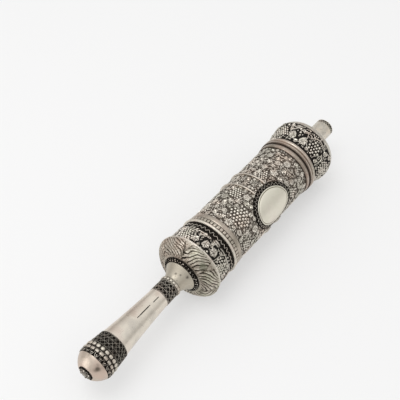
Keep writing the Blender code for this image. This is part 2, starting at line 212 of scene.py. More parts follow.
def wire(name, paths, thickness, closed=False, sides=1):
    # round wires along flat paths of (u, v, height) points
    line = bpy.data.curves.new(name, "CURVE")
    line.dimensions = "3D"
    for number, path in enumerate(paths):
        spline = line.splines.new("POLY")
        spline.points.add(len(path) - 1)
        for point, (u, v, height) in zip(spline.points, path):
            point.co = (u, v, height + number % 97 * wireGap, 1)
        spline.use_cyclic_u = closed
    line.bevel_depth = thickness
    line.bevel_resolution = sides
    line.use_fill_caps = True
    piece = bpy.data.objects.new(name, line)
    scene.collection.objects.link(piece)
    pick(piece)
    bpy.ops.object.convert(target="MESH")
    piece = bpy.context.object
    bpy.ops.object.mode_set(mode="EDIT")
    endEdit(wireWeld)  # the end caps come loose from the wire, so they are welded on
    middle = sum(place[2] for path in paths for place in path) / sum(len(path) for path in paths)
    setTone(piece, lambda vert: 0.62 + 0.38 * min(max((vert.co.z - middle) / thickness, -1), 1))
    return piece


def dense(path):
    # extra points along straight stretches, so that a wire follows the curve it is wrapped on
    step = 0.7
    line = []
    for near, far in zip(path, path[1:]):
        count = max(1, math.ceil(math.dist(near[:2], far[:2]) / step))
        line += [tuple(a + (b - a) * i / count for a, b in zip(near, far)) for i in range(count)]
    return line + [path[-1]]


def track(outline):
    # distance along an outline, so that flat ornament can be laid on a curved profile
    along = outline[0][0]
    stops = [(along, *outline[0])]
    for (x0, r0), (x1, r1) in zip(outline, outline[1:]):
        along += math.hypot(x1 - x0, r1 - r0)
        stops.append((along, x1, r1))
    return stops


def straightTrack(first, low, last, high):
    return [(first, first, low), (last, last, high)]


def levelTrack(radius):
    # past both ends of the case
    return straightTrack(0, radius, 400, radius)


def onTrack(stops, u):
    i = 0
    while i < len(stops) - 2 and stops[i + 1][0] < u:
        i += 1
    (a0, x0, r0), (a1, x1, r1) = stops[i], stops[i + 1]
    share = (u - a0) / (a1 - a0)
    slope = math.atan2(r1 - r0, x1 - x0)
    return x0 + (x1 - x0) * share, r0 + (r1 - r0) * share, slope


def wrap(piece, stops, spread):
    # u runs along the track, v becomes an arc upwards from the front, and height stands off the surface
    for vert in piece.data.vertices:
        u, v, height = vert.co
        station, radius, slope = onTrack(stops, u)
        station -= height * math.sin(slope)
        radius += height * math.cos(slope)
        vert.co = roundAt(station, radius, math.radians(frontAngle) - v / spread)
    return piece


def decorated(name, ground, ornament, stops, spread):
    # flat ornament is wrapped on its ground, and the two become one piece
    return joined(name, [ground, wrap(joined(name + "Ornament", ornament), stops, spread)])


def settle(piece, node, material, smooth=35):
    # carries a finished piece to its place, keeps it on the table and ties it to the frame
    piece.data.transform(Matrix.Translation((tip, 0, axisHeight)) @ Matrix.Scale(mm, 4))
    for vert in piece.data.vertices:
        vert.co.z = max(vert.co.z, 0)
    piece.data.materials.clear()
    piece.data.materials.append(material)
    pick(piece)
    bpy.ops.object.shade_smooth_by_angle(angle=math.radians(smooth))
    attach(piece, "root")
    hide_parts(node)
    print("made", piece.name, len(piece.data.polygons), "faces")


def addNode(material, kind, **settings):
    node = material.node_tree.nodes.new(kind)
    for name, value in settings.items():
        setattr(node, name, value)
    return node


def tie(material, start, end):
    material.node_tree.links.new(start, end)


def inMillimetres(material, stretch=(1, 1, 1)):
    # the piece's own coordinates, stretched along each axis
    place = addNode(material, "ShaderNodeTexCoord")
    mapping = addNode(material, "ShaderNodeMapping")
    mapping.inputs["Scale"].default_value = [side / mm for side in stretch]
    tie(material, place.outputs["Object"], mapping.inputs["Vector"])
    return mapping.outputs["Vector"]


def clouds(material, scale, detail=3, stretch=(1, 1, 1)):
    texture = addNode(material, "ShaderNodeTexNoise")
    texture.inputs["Scale"].default_value = scale
    texture.inputs["Detail"].default_value = detail
    texture.inputs["Roughness"].default_value = 0.55
    tie(material, inMillimetres(material, stretch), texture.inputs["Vector"])
    return texture.outputs["Fac"]


def ramp(material, source, stops):
    # each stop is a place and a colour, or a place and one number for a grey
    node = addNode(material, "ShaderNodeValToRGB")
    elements = node.color_ramp.elements
    while len(elements) < len(stops):
        elements.new(0.5)
    for element, (position, colour) in zip(elements, stops):
        element.position = position
        element.color = (*(colour if isinstance(colour, tuple) else (colour,) * 3), 1)
    tie(material, source, node.inputs["Fac"])
    return node.outputs["Color"]


def calculated(material, operation, first, second, **settings):
    node = addNode(material, "ShaderNodeMath", operation=operation, **settings)
    tie(material, first, node.inputs[0])
    tie(material, second, node.inputs[1])
    return node.outputs["Value"]


def tinted(material, colour, tint):
    node = addNode(material, "ShaderNodeMix", data_type="RGBA", blend_type="MULTIPLY")
    node.inputs["Factor"].default_value = 1
    tie(material, colour, node.inputs["A"])
    tie(material, tint, node.inputs["B"])
    return node.outputs["Result"]


def stainedAndShaded(material, colour, stainAndShade):
    # the piece's own stain marks, where it has any, and on the handle also the painted shade of its upper
    # side
    marks = addNode(material, "ShaderNodeAttribute", attribute_name="stainAndShade")
    node = addNode(material, "ShaderNodeMix", data_type="RGBA")
    tie(material, marks.outputs["Fac"], node.inputs["Factor"])
    tie(material, colour, node.inputs["A"])
    node.inputs["B"].default_value = (*stainAndShade, 1)
    return node.outputs["Result"]


def bumped(material, shader, height, strength, distance):
    bump = addNode(material, "ShaderNodeBump")
    bump.inputs["Strength"].default_value = strength
    bump.inputs["Distance"].default_value = distance * mm
    tie(material, height, bump.inputs["Height"])
    tie(material, bump.outputs["Normal"], shader.inputs["Normal"])


def newMetal(name):
    material = bpy.data.materials.new(name)
    material.use_nodes = True
    return material, material.node_tree.nodes["Principled BSDF"]


def plainSilver(name, look):
    # rubbed silver: slow colour drift, fine scratches and a few smudges
    material, shader = newMetal(name)
    drift = ramp(material, clouds(material, look["drift"]), [
        (0.32, look["shade"]), (0.5, look["light"]), (0.72, look["warm"])])
    specks = ramp(material, clouds(material, look["speckScale"], 4), [
        (0.0, look["speckDepth"]), (look["speckShare"], look["speckDepth"]), (look["speckShare"] + 0.05, 1)])
    colour = stainedAndShaded(material, tinted(material, drift, specks), look["stainAndShade"])
    tie(material, colour, shader.inputs["Base Color"])
    shader.inputs["Metallic"].default_value = 1
    gloss = ramp(material, clouds(material, 0.35, 4), [
        (0.3, look["rough"] - 0.06), (0.7, look["rough"] + 0.1)])
    tie(material, gloss, shader.inputs["Roughness"])
    scratches = clouds(material, 1.4, 2, stretch=(0.25, 2.2, 2.2))
    bumped(material, shader, scratches, look["scratch"], 0.03)
    return material


def lowRelief(material, look, tone, worn):
    # small chased shapes, too low to model, fill the ground between the leaves
    place = inMillimetres(material)
    sway = addNode(material, "ShaderNodeTexNoise")
    sway.inputs["Scale"].default_value = 0.45
    sway.inputs["Detail"].default_value = 1
    shifted = addNode(material, "ShaderNodeVectorMath", operation="MULTIPLY_ADD")
    shifted.inputs[1].default_value = (4, 4, 4)
    cells = addNode(material, "ShaderNodeTexVoronoi", feature="DISTANCE_TO_EDGE")
    cells.inputs["Scale"].default_value = look["cells"]
    tie(material, place, sway.inputs["Vector"])
    tie(material, sway.outputs["Color"], shifted.inputs[0])
    tie(material, place, shifted.inputs[2])
    tie(material, shifted.outputs["Vector"], cells.inputs["Vector"])
    shape = ramp(material, cells.outputs["Distance"], [(0.11, 0), (0.26, 0.66), (0.45, look["cellTone"])])
    ground = ramp(material, tone, [(0.09, 0), (0.15, 1), (0.27, 1), (0.33, 0)])
    shown = calculated(material, "MULTIPLY", shape, ground)
    return calculated(material, "MAXIMUM", worn, shown), shown


def oxidisedSilver(name, look):
    # chased silver: black in the recesses, rubbed bright on what stands up
    material, shader = newMetal(name)
    tone = addNode(material, "ShaderNodeAttribute", attribute_name="tone").outputs["Fac"]
    grime = addNode(material, "ShaderNodeMapRange")
    grime.inputs["From Min"].default_value = 0.3
    grime.inputs["From Max"].default_value = 0.7
    grime.inputs["To Min"].default_value = -look["grime"]
    grime.inputs["To Max"].default_value = look["grime"]
    tie(material, clouds(material, look["grimeScale"], 4), grime.inputs["Value"])
    worn = calculated(material, "ADD", tone, grime.outputs["Result"], use_clamp=True)
    if "cells" in look:
        worn, relief = lowRelief(material, look, tone, worn)
    else:
        relief = clouds(material, look["punchScale"], 2)
    colour = ramp(material, worn, look["colours"])
    drift = ramp(material, clouds(material, look["drift"]), [
        (0.35, look["coolTint"]), (0.52, 1), (0.7, look["warmTint"])])
    colour = stainedAndShaded(material, tinted(material, colour, drift), look["stainAndShade"])
    tie(material, colour, shader.inputs["Base Color"])
    metal = ramp(material, worn, [(0.0, look["darkMetal"]), (0.45, 1)])
    tie(material, metal, shader.inputs["Metallic"])
    gloss = ramp(material, worn, [(0.1, look["darkRough"]), (0.9, look["rough"])])
    tie(material, gloss, shader.inputs["Roughness"])
    shader.inputs["Specular IOR Level"].default_value = look["darkShine"]
    bumped(material, shader, relief, look["punch"], 0.08)
    return material


# finishes that plain silver takes: three tones that drift into each other, dark specks, gloss and scratches
polishedLook = {"light": (0.76, 0.70, 0.605), "warm": (0.72, 0.62, 0.545), "shade": (0.63, 0.585, 0.515),
                "drift": 0.07, "speckScale": 0.5, "speckShare": 0.27, "speckDepth": 0.5,
                "rough": 0.3, "scratch": 0.25, "stainAndShade": (0.17, 0.14, 0.11)}
satinLook = dict(polishedLook, light=(0.74, 0.69, 0.60), shade=(0.58, 0.54, 0.475), rough=0.38, drift=0.2,
                 speckShare=0.33, scratch=0.4)
polished = plainSilver("polishedSilver", polishedLook)
satin = plainSilver("satinSilver", satinLook)
plateSilver = plainSilver("plateSilver", dict(
    polishedLook, light=(0.80, 0.76, 0.655), warm=(0.78, 0.72, 0.63), shade=(0.77, 0.745, 0.63),
    speckShare=0.1, rough=0.42, scratch=0.12, drift=0.05))
rimSilver = plainSilver("rimSilver", dict(satinLook, rough=0.52))
domeSilver = plainSilver("domeSilver", dict(
    polishedLook, light=(0.59, 0.50, 0.42), warm=(0.60, 0.47, 0.39), shade=(0.50, 0.43, 0.35), rough=0.36))
# its stain colour is the pink-brown of the painted shade along the handle's upper side, and of its blotches
handleSilver = plainSilver("handleSilver", dict(polishedLook, stainAndShade=(0.50, 0.41, 0.335)))
# painted shade: a darker copy of the polished silver, so the flare gives back less light
shadedFlareSilver = plainSilver("shadedFlareSilver", dict(
    polishedLook, light=(0.51, 0.465, 0.385), warm=(0.48, 0.43, 0.35), shade=(0.43, 0.395, 0.33), rough=0.44,
    stainAndShade=(0.10, 0.085, 0.07)))
finialSilver = plainSilver("finialSilver", dict(satinLook, warm=(0.74, 0.64, 0.52)))
ringSilver = plainSilver("ringSilver", dict(
    satinLook, light=(0.60, 0.55, 0.48), warm=(0.60, 0.51, 0.44), shade=(0.46, 0.42, 0.365)))

# finishes that blackened silver takes: colours from the recess to the rubbed top, grime, tints and gloss
tubeLook = {"colours": [(0.0, (0.022, 0.018, 0.015)), (0.3, (0.12, 0.098, 0.08)), (0.62, (0.38, 0.34, 0.29)),
                        (0.95, (0.84, 0.79, 0.70))],
            "grime": 0.2, "grimeScale": 0.7, "drift": 0.07, "coolTint": (0.84, 0.86, 0.83),
            "warmTint": (0.96, 0.88, 0.84), "darkMetal": 0.3, "darkRough": 0.62, "darkShine": 0.15,
            "rough": 0.29, "punch": 0.35, "punchScale": 1.6, "stainAndShade": (0.11, 0.12, 0.075)}
lidLook = dict(tubeLook, colours=[
    (0.0, (0.010, 0.008, 0.007)), (0.3, (0.045, 0.038, 0.032)), (0.62, (0.36, 0.32, 0.275)),
    (0.95, (0.74, 0.69, 0.61))])
filigreeLook = dict(lidLook, grime=0.1, darkMetal=0.0, darkRough=0.8, darkShine=0.08, colours=[
    (0.0, (0.009, 0.007, 0.005)), (0.35, (0.03, 0.026, 0.022)), (0.65, (0.30, 0.265, 0.225)),
    (0.95, (0.78, 0.72, 0.63))])
beadLook = dict(filigreeLook, rough=0.42, colours=[
    (0.0, (0.015, 0.012, 0.01)), (0.3, (0.08, 0.066, 0.055)), (0.6, (0.40, 0.36, 0.31)),
    (0.92, (0.64, 0.59, 0.51))])
bandLook = dict(tubeLook, grime=0.07, punch=0.1, colours=[
    (0.0, (0.015, 0.012, 0.01)), (0.3, (0.11, 0.085, 0.068)), (0.62, (0.34, 0.275, 0.225)),
    (0.95, (0.74, 0.68, 0.60))])
tubeSilver = oxidisedSilver("tubeSilver", dict(tubeLook, cells=0.46, cellTone=0.81, punch=0.95))
lidSilver = oxidisedSilver("lidSilver", lidLook)
bulbSilver = oxidisedSilver("bulbSilver", dict(
    tubeLook, grime=0.16, rough=0.4, coolTint=(0.90, 0.94, 0.88), warmTint=(1, 0.92, 0.89), colours=[
        (0.0, (0.012, 0.009, 0.006)), (0.3, (0.10, 0.08, 0.06)), (0.6, (0.35, 0.305, 0.25)),
        (0.95, (0.70, 0.645, 0.56))]))
filigree = oxidisedSilver("filigreeSilver", filigreeLook)
beadSilver = oxidisedSilver("beadSilver", beadLook)
dullBeadSilver = oxidisedSilver("dullBeadSilver", dict(beadLook, colours=[
    (0.0, (0.015, 0.012, 0.01)), (0.3, (0.07, 0.058, 0.048)), (0.6, (0.34, 0.305, 0.26)),
    (0.92, (0.55, 0.50, 0.43))]))
bandSilver = oxidisedSilver("bandSilver", bandLook)
collarSilver = oxidisedSilver("collarSilver", dict(bandLook, grime=0.12, colours=[
    (0.0, (0.03, 0.024, 0.02)), (0.35, (0.17, 0.135, 0.11)), (0.62, (0.36, 0.30, 0.25)),
    (0.95, (0.56, 0.50, 0.425))]))
print("metals ready")

# lobes of the leaves: (direction, length, half width), in degrees and shares of the leaf
vineLobes = [(0, 1.0, 34), (56, 0.95, 34), (-56, 0.95, 34), (114, 0.8, 36), (-114, 0.8, 36)]
starLobes = [(0, 1.0, 34), (72, 0.95, 34), (-72, 0.95, 34), (144, 0.9, 34), (-144, 0.9, 34)]
flowerLobes = [(turn, 1.0, 32) for turn in range(0, 360, 60)]
ovalLobes = [(0, 1.0, 62), (180, 0.9, 62)]


def leafStamp(name, lobes, points, waist, veins=0.45):
    # a disc with rings, drawn out into lobes, hollowed at the middle, with a vein down each lobe
    deselectAll()
    bpy.ops.mesh.primitive_circle_add(vertices=points, radius=1, fill_type="NGON", location=(0, 0, 0))
    leaf = bpy.context.object
    leaf.name = name
    bpy.ops.object.mode_set(mode="EDIT")
    bpy.ops.mesh.select_all(action="SELECT")
    for width in (0.15, 0.3, 0.3):
        bpy.ops.mesh.inset(thickness=width)
    bpy.ops.mesh.poke()
    bpy.ops.mesh.select_all(action="DESELECT")
    bpy.ops.mesh.select_non_manifold()
    bpy.ops.mesh.extrude_region_move(TRANSFORM_OT_translate={"value": (0, 0, -2)})
    bpy.ops.mesh.edge_face_add()
    endEdit()
    tones = []
    for vert in leaf.data.vertices:
        share = math.hypot(vert.co.x, vert.co.y)
        turn = math.degrees(math.atan2(vert.co.y, vert.co.x))
        reach, vein = waist, 0
        for direction, length, width in lobes:
            away = abs((turn - direction + 180) % 360 - 180) / width
            if away < 1:
                reach = max(reach, waist + (length - waist) * (1 - away) ** 0.8)
                vein = max(vein, 1 - away * 4)
        if vert.co.z < -1:  # the foot, sunk in the ground
            rise, tone = -0.6, 0
        elif share > 0.95:  # the edge
            rise, tone = 0.62, 0.3
        else:
            hollow = max(0.6 - share, 0)
            rise = 1.0 - 0.9 * hollow - veins * vein * (1 - share * 0.6)
            tone = 0.92 - 0.7 * hollow - 0.6 * vein
        vert.co = (vert.co.x * reach, vert.co.y * reach, rise)
        tones.append(tone)
    setTone(leaf, lambda vert: tones[vert.index])
    return leaf


def beadStamp(name, segments, rings, flatness=1.0, squareness=2):
    # the upper part of a small ball, or of a squarish cushion
    deselectAll()
    bpy.ops.mesh.primitive_uv_sphere_add(segments=segments, ring_count=rings, radius=1, location=(0, 0, 0))
    bead = bpy.context.object
    bead.name = name
    bpy.ops.object.mode_set(mode="EDIT")
    bpy.ops.mesh.select_all(action="SELECT")
    bpy.ops.mesh.bisect(plane_co=(0, 0, -0.3), plane_no=(0, 0, 1), clear_inner=True, use_fill=True)
    bpy.ops.object.mode_set(mode="OBJECT")
    setTone(bead, lambda vert: smoothStep(-0.1, 0.85, vert.co.z))
    for vert in bead.data.vertices:
        out = math.hypot(vert.co.x, vert.co.y)
        if flatness != 1 and vert.co.z > 0:
            vert.co.z = (1 - out ** 4 * 0.999) ** 0.5 * flatness
        if out > 0:
            powers = (abs(vert.co.x) / out) ** squareness + (abs(vert.co.y) / out) ** squareness
            grow = powers ** (-1 / squareness)
            vert.co.x, vert.co.y = vert.co.x * grow, vert.co.y * grow
    return bead


def curlStamp(name, side):
    # a wire that winds in one and a half turns to a berry
    path = []
    for share in evenly(0, 1, 14):
        turn = side * share * 1.5 * 2 * math.pi
        reach = 1 - 0.74 * share ** 0.85
        path.append((reach * math.cos(turn), reach * math.sin(turn), 0.12))
    return joined(name, [wire(name, [path], 0.2, sides=0), copyOf(berry, 0.1, 0, size=0.3)])


def copyOf(stamp, u, v, turn=0, size=1, height=None, wide=None, lift=0):
    copy = stamp.copy()
    copy.data = stamp.data.copy()
    scene.collection.objects.link(copy)
    scaling = Matrix.Diagonal((size, wide or size, height or size, 1))
    turning = Matrix.Rotation(math.radians(turn), 4, "Z")
    copy.data.transform(Matrix.Translation((u, v, lift)) @ turning @ scaling)
    return copy


vineLeaf = leafStamp("vineLeafStamp", vineLobes, 32, 0.56)
starLeaf = leafStamp("starLeafStamp", starLobes, 35, 0.54)
flower = leafStamp("flowerStamp", flowerLobes, 30, 0.66, 0.25)
ovalLeaf = leafStamp("ovalLeafStamp", ovalLobes, 12, 0.42, 0.3)
berry = beadStamp("berryStamp", 8, 6)
cushion = beadStamp("cushionStamp", 14, 10, 0.8, 2.4)
block = beadStamp("blockStamp", 16, 10, 0.7, 5)
curlLeft = curlStamp("curlLeftStamp", 1)
curlRight = curlStamp("curlRightStamp", -1)
# each stamp with the share of its size that it keeps clear of others
stamps = {"vine": (vineLeaf, 0.86), "star": (starLeaf, 0.9), "flower": (flower, 0.95),
          "oval": (ovalLeaf, 0.7), "berry": (berry, 1.0), "curlLeft": (curlLeft, 1.05),
          "curlRight": (curlRight, 1.05)}
print("ornament stamps ready")


def newSheet(spread):
    # flat ornament before it is wrapped on this radius: around is the length that closes on itself
    return {"around": 2 * math.pi * spread, "copies": [], "stems": [], "taken": []}


def isFree(sheet, u, v, reach):
    around = sheet["around"]
    for takenU, takenV, takenReach in sheet["taken"]:
        away = abs(v - takenV) % around
        away = min(away, around - away)
        if (u - takenU) ** 2 + away ** 2 < (reach + takenReach) ** 2:
            return False
    return True


def put(sheet, kind, u, v, turn=0, size=1, height=0.75):
    stamp, share = stamps[kind]
    if kind.startswith("curl"):
        height = size
    if kind == "berry":
        height = size * 0.95
    sheet["copies"].append(copyOf(stamp, u, v, turn, size, height))
    if kind == "flower":
        sheet["copies"].append(copyOf(berry, u, v, 0, size * 0.28, 0.75, lift=height * 0.4))
    sheet["taken"].append((u, v, size * share))


def putStem(sheet, path):
    sheet["stems"].append([(u, v, 0.16) for u, v in path])
    sheet["taken"] += [(u, v, 0.45) for u, v in path[::2]]


def putGrapes(sheet, u, v, halfLength, halfWidth, pitch, turn):
    # a bunch: round at the stalk end and drawn in at the tip
    rows = int(halfLength / pitch / 0.87) + 1
    swing = Matrix.Rotation(math.radians(turn), 2)
    shake = pitch * 0.09
    for row in range(-rows, rows + 1):
        along = row * pitch * 0.87
        width = halfWidth * (1 - 0.45 * smoothStep(0, 1, along / halfLength))
        for column in range(-8, 9):
            across = (column + 0.5 * (row % 2)) * pitch
            if (along / halfLength) ** 2 + (across / width) ** 2 > 1:
                continue
            spot = swing @ Vector((along + rng.uniform(-shake, shake), across + rng.uniform(-shake, shake)))
            size = pitch * rng.uniform(0.39, 0.49)
            berryU, berryV = u + spot.x, v + spot.y
            sheet["copies"].append(copyOf(berry, berryU, berryV, rng.uniform(0, 40), size, size * 1.05))
            sheet["taken"].append((berryU, berryV, pitch * 0.5))


def putFan(sheet, u, v, turn, size, petals=7, opening=150):
    # long narrow leaves spread from one foot
    for i in range(petals):
        swing = turn + opening * (i / (petals - 1) - 0.5)
        a = math.radians(swing)
        reach = size * (0.62 if i % (petals - 1) else 0.55)
        sheet["copies"].append(copyOf(ovalLeaf, u + reach * math.cos(a), v + reach * math.sin(a), swing,
                                      size * 0.42, 0.8, wide=size * 0.36))
    sheet["copies"].append(copyOf(berry, u, v, 0, size * 0.2, 0.7))
    a = math.radians(turn)
    sheet["taken"].append((u + size * 0.4 * math.cos(a), v + size * 0.4 * math.sin(a), size * 0.75))


def putFrond(sheet, path, leaf):
    # a stem with short leaves springing from both sides
    putStem(sheet, path)
    for (u0, v0), (u1, v1) in zip(path, path[1:]):
        along = math.degrees(math.atan2(v1 - v0, u1 - u0))
        for side in (50, -50):
            a = math.radians(along + side)
            u, v = u0 + leaf * 0.8 * math.cos(a), v0 + leaf * 0.8 * math.sin(a)
            sheet["copies"].append(copyOf(ovalLeaf, u, v, along + side, leaf * 0.75, 0.55, wide=leaf * 0.6))
            sheet["taken"].append((u, v, leaf * 0.4))


def putMotifs(sheet, motifs, repeats):
    # each motif is (kind, u, v, what its own function takes)
    cell = sheet["around"] / repeats
    for repeat in range(repeats):
        for kind, u, v, *rest in motifs:
            v = v + repeat * cell
            if kind == "grapes":
                putGrapes(sheet, u, v, *rest)
            elif kind == "fan":
                putFan(sheet, u, v, *rest)
            elif kind == "frond":
                putFrond(sheet, [(u + a, v + b) for a, b in rest[0]], rest[1])
            elif kind == "stem":
                putStem(sheet, curveThrough([(u + a, v + b) for a, b in rest[0]], 4))
            else:
                put(sheet, kind, u, v, *rest)


def linkUp(sheet, longest, smallest):
    # bowed tendrils run from each leaf to the nearest ones, under the leaves
    around = sheet["around"]
    spots = [(u, v) for u, v, reach in sheet["taken"] if reach > smallest]
    for u, v in spots:
        nearest = []
        for otherU, otherV in spots:
            rise = (otherV - v + around / 2) % around - around / 2
            far = math.hypot(otherU - u, rise)
            if 0 < far < longest and (otherU, rise) > (u, 0):
                nearest.append((far, otherU - u, rise))
        for far, run, rise in sorted(nearest)[:2]:
            bow = rng.choice((-0.2, 0.2))
            middle = (u + run / 2 - rise * bow, v + rise / 2 + run * bow)
            putStem(sheet, curveThrough([(u, v), middle, (u + run, v + rise)], 4))


def fillIn(sheet, low, high, recipe):
    # smaller and smaller ornament goes wherever there is room left; it may lap over others by a little
    closeness = 0.85
    for kind, smallest, largest, tries in recipe:
        for _ in range(tries):
            size = rng.uniform(smallest, largest)
            reach = size * stamps[kind][1] * closeness
            u = rng.uniform(low + reach * 0.9, high - reach * 0.9)
            v = rng.uniform(0, sheet["around"])
            turn = rng.uniform(0, 360)
            if isFree(sheet, u, v, reach):
                put(sheet, kind, u, v, turn, size, rng.uniform(0.6, 0.8))


def ornamentOf(sheet, stemSize):
    return sheet["copies"] + [wire("stems", sheet["stems"], stemSize)]


def beadRow(stamp, u, count, spread, size, wide=None, height=None, lift=0, shift=0.0, uneven=0.0):
    # the same bead set all the way round, each a little uneven
    beads = []
    for i in range(count):
        v = (i + shift) * 2 * math.pi * spread / count
        grow = 1 + rng.uniform(-uneven, uneven)
        beads.append(copyOf(stamp, u, v, 0, size * grow, height, wide=(wide or size) * grow,
                            lift=lift + rng.uniform(-uneven, uneven) * 0.4))
    return beads


# petals and berries are (distance from the middle, size); a petal has a length and a width
rosette = {"radius": 6.1, "rise": 1.1, "petals": 6, "petal": (3.25, 1.75, 1.15), "innerRing": 1.25,
           "wire": 0.11, "hub": 0.8, "outerBerries": (4.7, 0.75), "innerBerries": (3.3, 0.4)}


def makeRosette():
    radius, rise = rosette["radius"], rosette["rise"]
    face = [(rise * share ** 2, radius * share) for share in evenly(0, 1, 12)]
    disc = spun("pommelRosette", face + [(rise + 0.2, radius), (rise + 0.2, 0)], 72)
    plainTone(disc, 0)
    far, long, broad = rosette["petal"]
    inner = rosette["innerRing"]
    loops, dots = [], [copyOf(berry, 0, 0, 0, rosette["hub"], 0.6)]
    for middle in angles(rosette["petals"]):
        petal = []
        for a in angles(20):
            out, side = far + long * math.cos(a), broad * math.sin(a)
            petal.append((out * math.cos(middle) - side * math.sin(middle),
                          out * math.sin(middle) + side * math.cos(middle), 0.05))
        loops.append(petal)
        between = middle + math.pi / rosette["petals"]
        for (out, size), a in ((rosette["outerBerries"], between), (rosette["innerBerries"], middle)):
            dots.append(copyOf(berry, out * math.cos(a), out * math.sin(a), 0, size))
    loops.append([(inner * math.cos(a), inner * math.sin(a), 0.05) for a in angles(48)])
    ornament = joined("rosetteOrnament", [wire("rosetteWires", loops, rosette["wire"], closed=True)] + dots)
    for vert in ornament.data.vertices:  # stood up on the domed face
        across, up, height = vert.co
        out = math.hypot(across, up) / radius
        vert.co = (rise * out * out - height, -across, up)
    piece = joined("pommelRosette", [disc, ornament])
    settle(piece, "pommel_rosette", material=filigree)


# the arc's centre is (station, radius); the nick in the edge is (station, radius, turn), with a reach
# and a depth
dome = {"first": 1.6, "last": 9.5, "centre": (14.9, -1.4), "arc": 15.75, "wall": 0.9, "mouth": 4.0,
        "nick": (9.5, 12.6, 1.05), "nickReach": 1.3, "nickDepth": 0.35,
        "stains": ((5.6, 42, 11.3, 3.1, 0.95), (7.6, 35, 12.6, 1.6, 0.4), (8.9, -8, 13.2, 1.5, 0.4))}


def domeRadius(station, offset=0):
    centre, low = dome["centre"]
    return low + math.sqrt((dome["arc"] - offset) ** 2 - (centre - station) ** 2)


def makeDome():
    first, last, wall = dome["first"], dome["last"], dome["wall"]
    outside = []
    for share in evenly(0, 1, 30):
        station = first + (last - first) * share ** 1.6
        outside.append((station, domeRadius(station)))
    inside = [(station, domeRadius(station, wall)) for station in (last, 8.0, 6.5, 5.0, 3.8, 3.0)]
    outline = [(first, 0)] + outside + inside + [(first + wall, dome["mouth"]), (first + wall, 0)]
    piece = spun("pommelDome", outline, 144)
    nick = roundAt(*dome["nick"])
    for vert in piece.data.vertices:
        near = 1 - smoothStep(0, dome["nickReach"], (vert.co - nick).length)
        vert.co.x -= dome["nickDepth"] * near
    setStainAndShade(piece, lambda vert: spotted(vert, dome["stains"]))
    settle(piece, "pommel_dome", material=domeSilver, smooth=28)


# a hook is a looped wire, given by the points of one half (station, half width, height) and its top
ropeBand = {"first": 9.8, "last": 12.9, "seat": 13.0, "radii": (13.45, 14.05), "spread": 14.0, "hooks": 21,
            "wire": 0.11, "hook": ((12.75, 1.75, 0.2), (11.6, 1.35, 0.25), (10.35, 0.75, 0.3)),
            "hookTop": (9.95, 0.32), "berryStation": 11.4, "berrySize": 0.55}


def makeRopeBand():
    first, last, count, spread = ropeBand["first"], ropeBand["last"], ropeBand["hooks"], ropeBand["spread"]
    low, high = ropeBand["radii"]
    ground = spun("pommelRopeBand", strip(first, last, ropeBand["seat"], low, high), 126)
    plainTone(ground, 0)
    half, (top, topHeight) = ropeBand["hook"], ropeBand["hookTop"]
    paths = []
    for i in range(count):
        v = i * 2 * math.pi * spread / count
        hook = [(u, v - wide, height) for u, wide, height in half] + [(top, v, topHeight)]
        hook += [(u, v + wide, height) for u, wide, height in reversed(half)]
        paths.append(curveThrough(hook, 2))
    hooks = wire("ropeHooks", paths, ropeBand["wire"])
    berries = beadRow(berry, ropeBand["berryStation"], count, spread, ropeBand["berrySize"],
                      lift=0.1, uneven=0.3)
    stops = straightTrack(first, low, last, high)
    piece = decorated("pommelRopeBand", ground, [hooks] + berries, stops, spread)
    settle(piece, "pommel_rope_band", material=filigree)


# rows are (station, width, radius, bead, tone between the beads, metal)
beadRows = {"seat": 13.0, "beads": 21, "height": 1.15,
            "rows": ((14.3, 2.5, 14.6, block, 0.0, dullBeadSilver),
                     (18.0, 3.2, 14.3, cushion, 0.2, beadSilver))}


def makePommelBeads():
    for number, (station, width, radius, bead, tone, metal) in enumerate(beadRows["rows"], 1):
        name = f"pommelBeadRing{number}"
        low = radius - beadRows["height"]
        half = width / 2 + 0.15
        ground = spun(name, strip(station - half, station + half, beadRows["seat"], low), 126)
        plainTone(ground, tone)
        pitch = 2 * math.pi * low / beadRows["beads"]
        beads = beadRow(bead, station, beadRows["beads"], low, width / 2 * 0.98, wide=pitch * 0.455,
                        height=1.35, shift=0.5 * number, uneven=0.05)
        piece = decorated(name, ground, beads, levelTrack(low), low)
        settle(piece, f"pommel_bead_ring_{number}", material=metal)


lattice = {"depth": 0.5, "sunk": 0.3, "columns": 3,
           "wide": {"first": 19.9, "last": 31.1, "low": 13.8, "high": 12.6, "cells": 22, "wire": 0.07},
           "narrow": {"first": 81.3, "last": 92.5, "low": 8.75, "high": 8.5, "cells": 14, "wire": 0.105}}


def makeLattice(name, node, band):
    # fine wires over black: crosses, and the rings between the columns
    first, last, low, high, cells = band["first"], band["last"], band["low"], band["high"], band["cells"]
    depth, sunk, columns = lattice["depth"], lattice["sunk"], lattice["columns"]
    ground = spun(name, [(first, low - depth), (first, low - sunk), (last, high - sunk),
                         (last, high - depth)], 132)
    plainTone(ground, 0)
    spread = (low + high) / 2
    around = 2 * math.pi * spread
    edges = evenly(first, last, columns)
    crosses = []
    for near, far in zip(edges, edges[1:]):
        for start in (0, 1):
            crosses.append(dense([((near if (k + start) % 2 else far), k * around / cells, 0.1)
                                  for k in range(cells + cells % 2 + 1)]))
    edges = [min(max(edge, first + 0.25), last - 0.25) for edge in edges]
    rings = [[(edge, v, 0.08) for v in evenly(0, around, 96)] for edge in edges]
    wires = [wire("latticeCrosses", crosses, band["wire"]), wire("latticeRings", rings, band["wire"])]
    piece = decorated(name, ground, wires, straightTrack(first, low - sunk, last, high - sunk), spread)
    settle(piece, node, material=filigree)


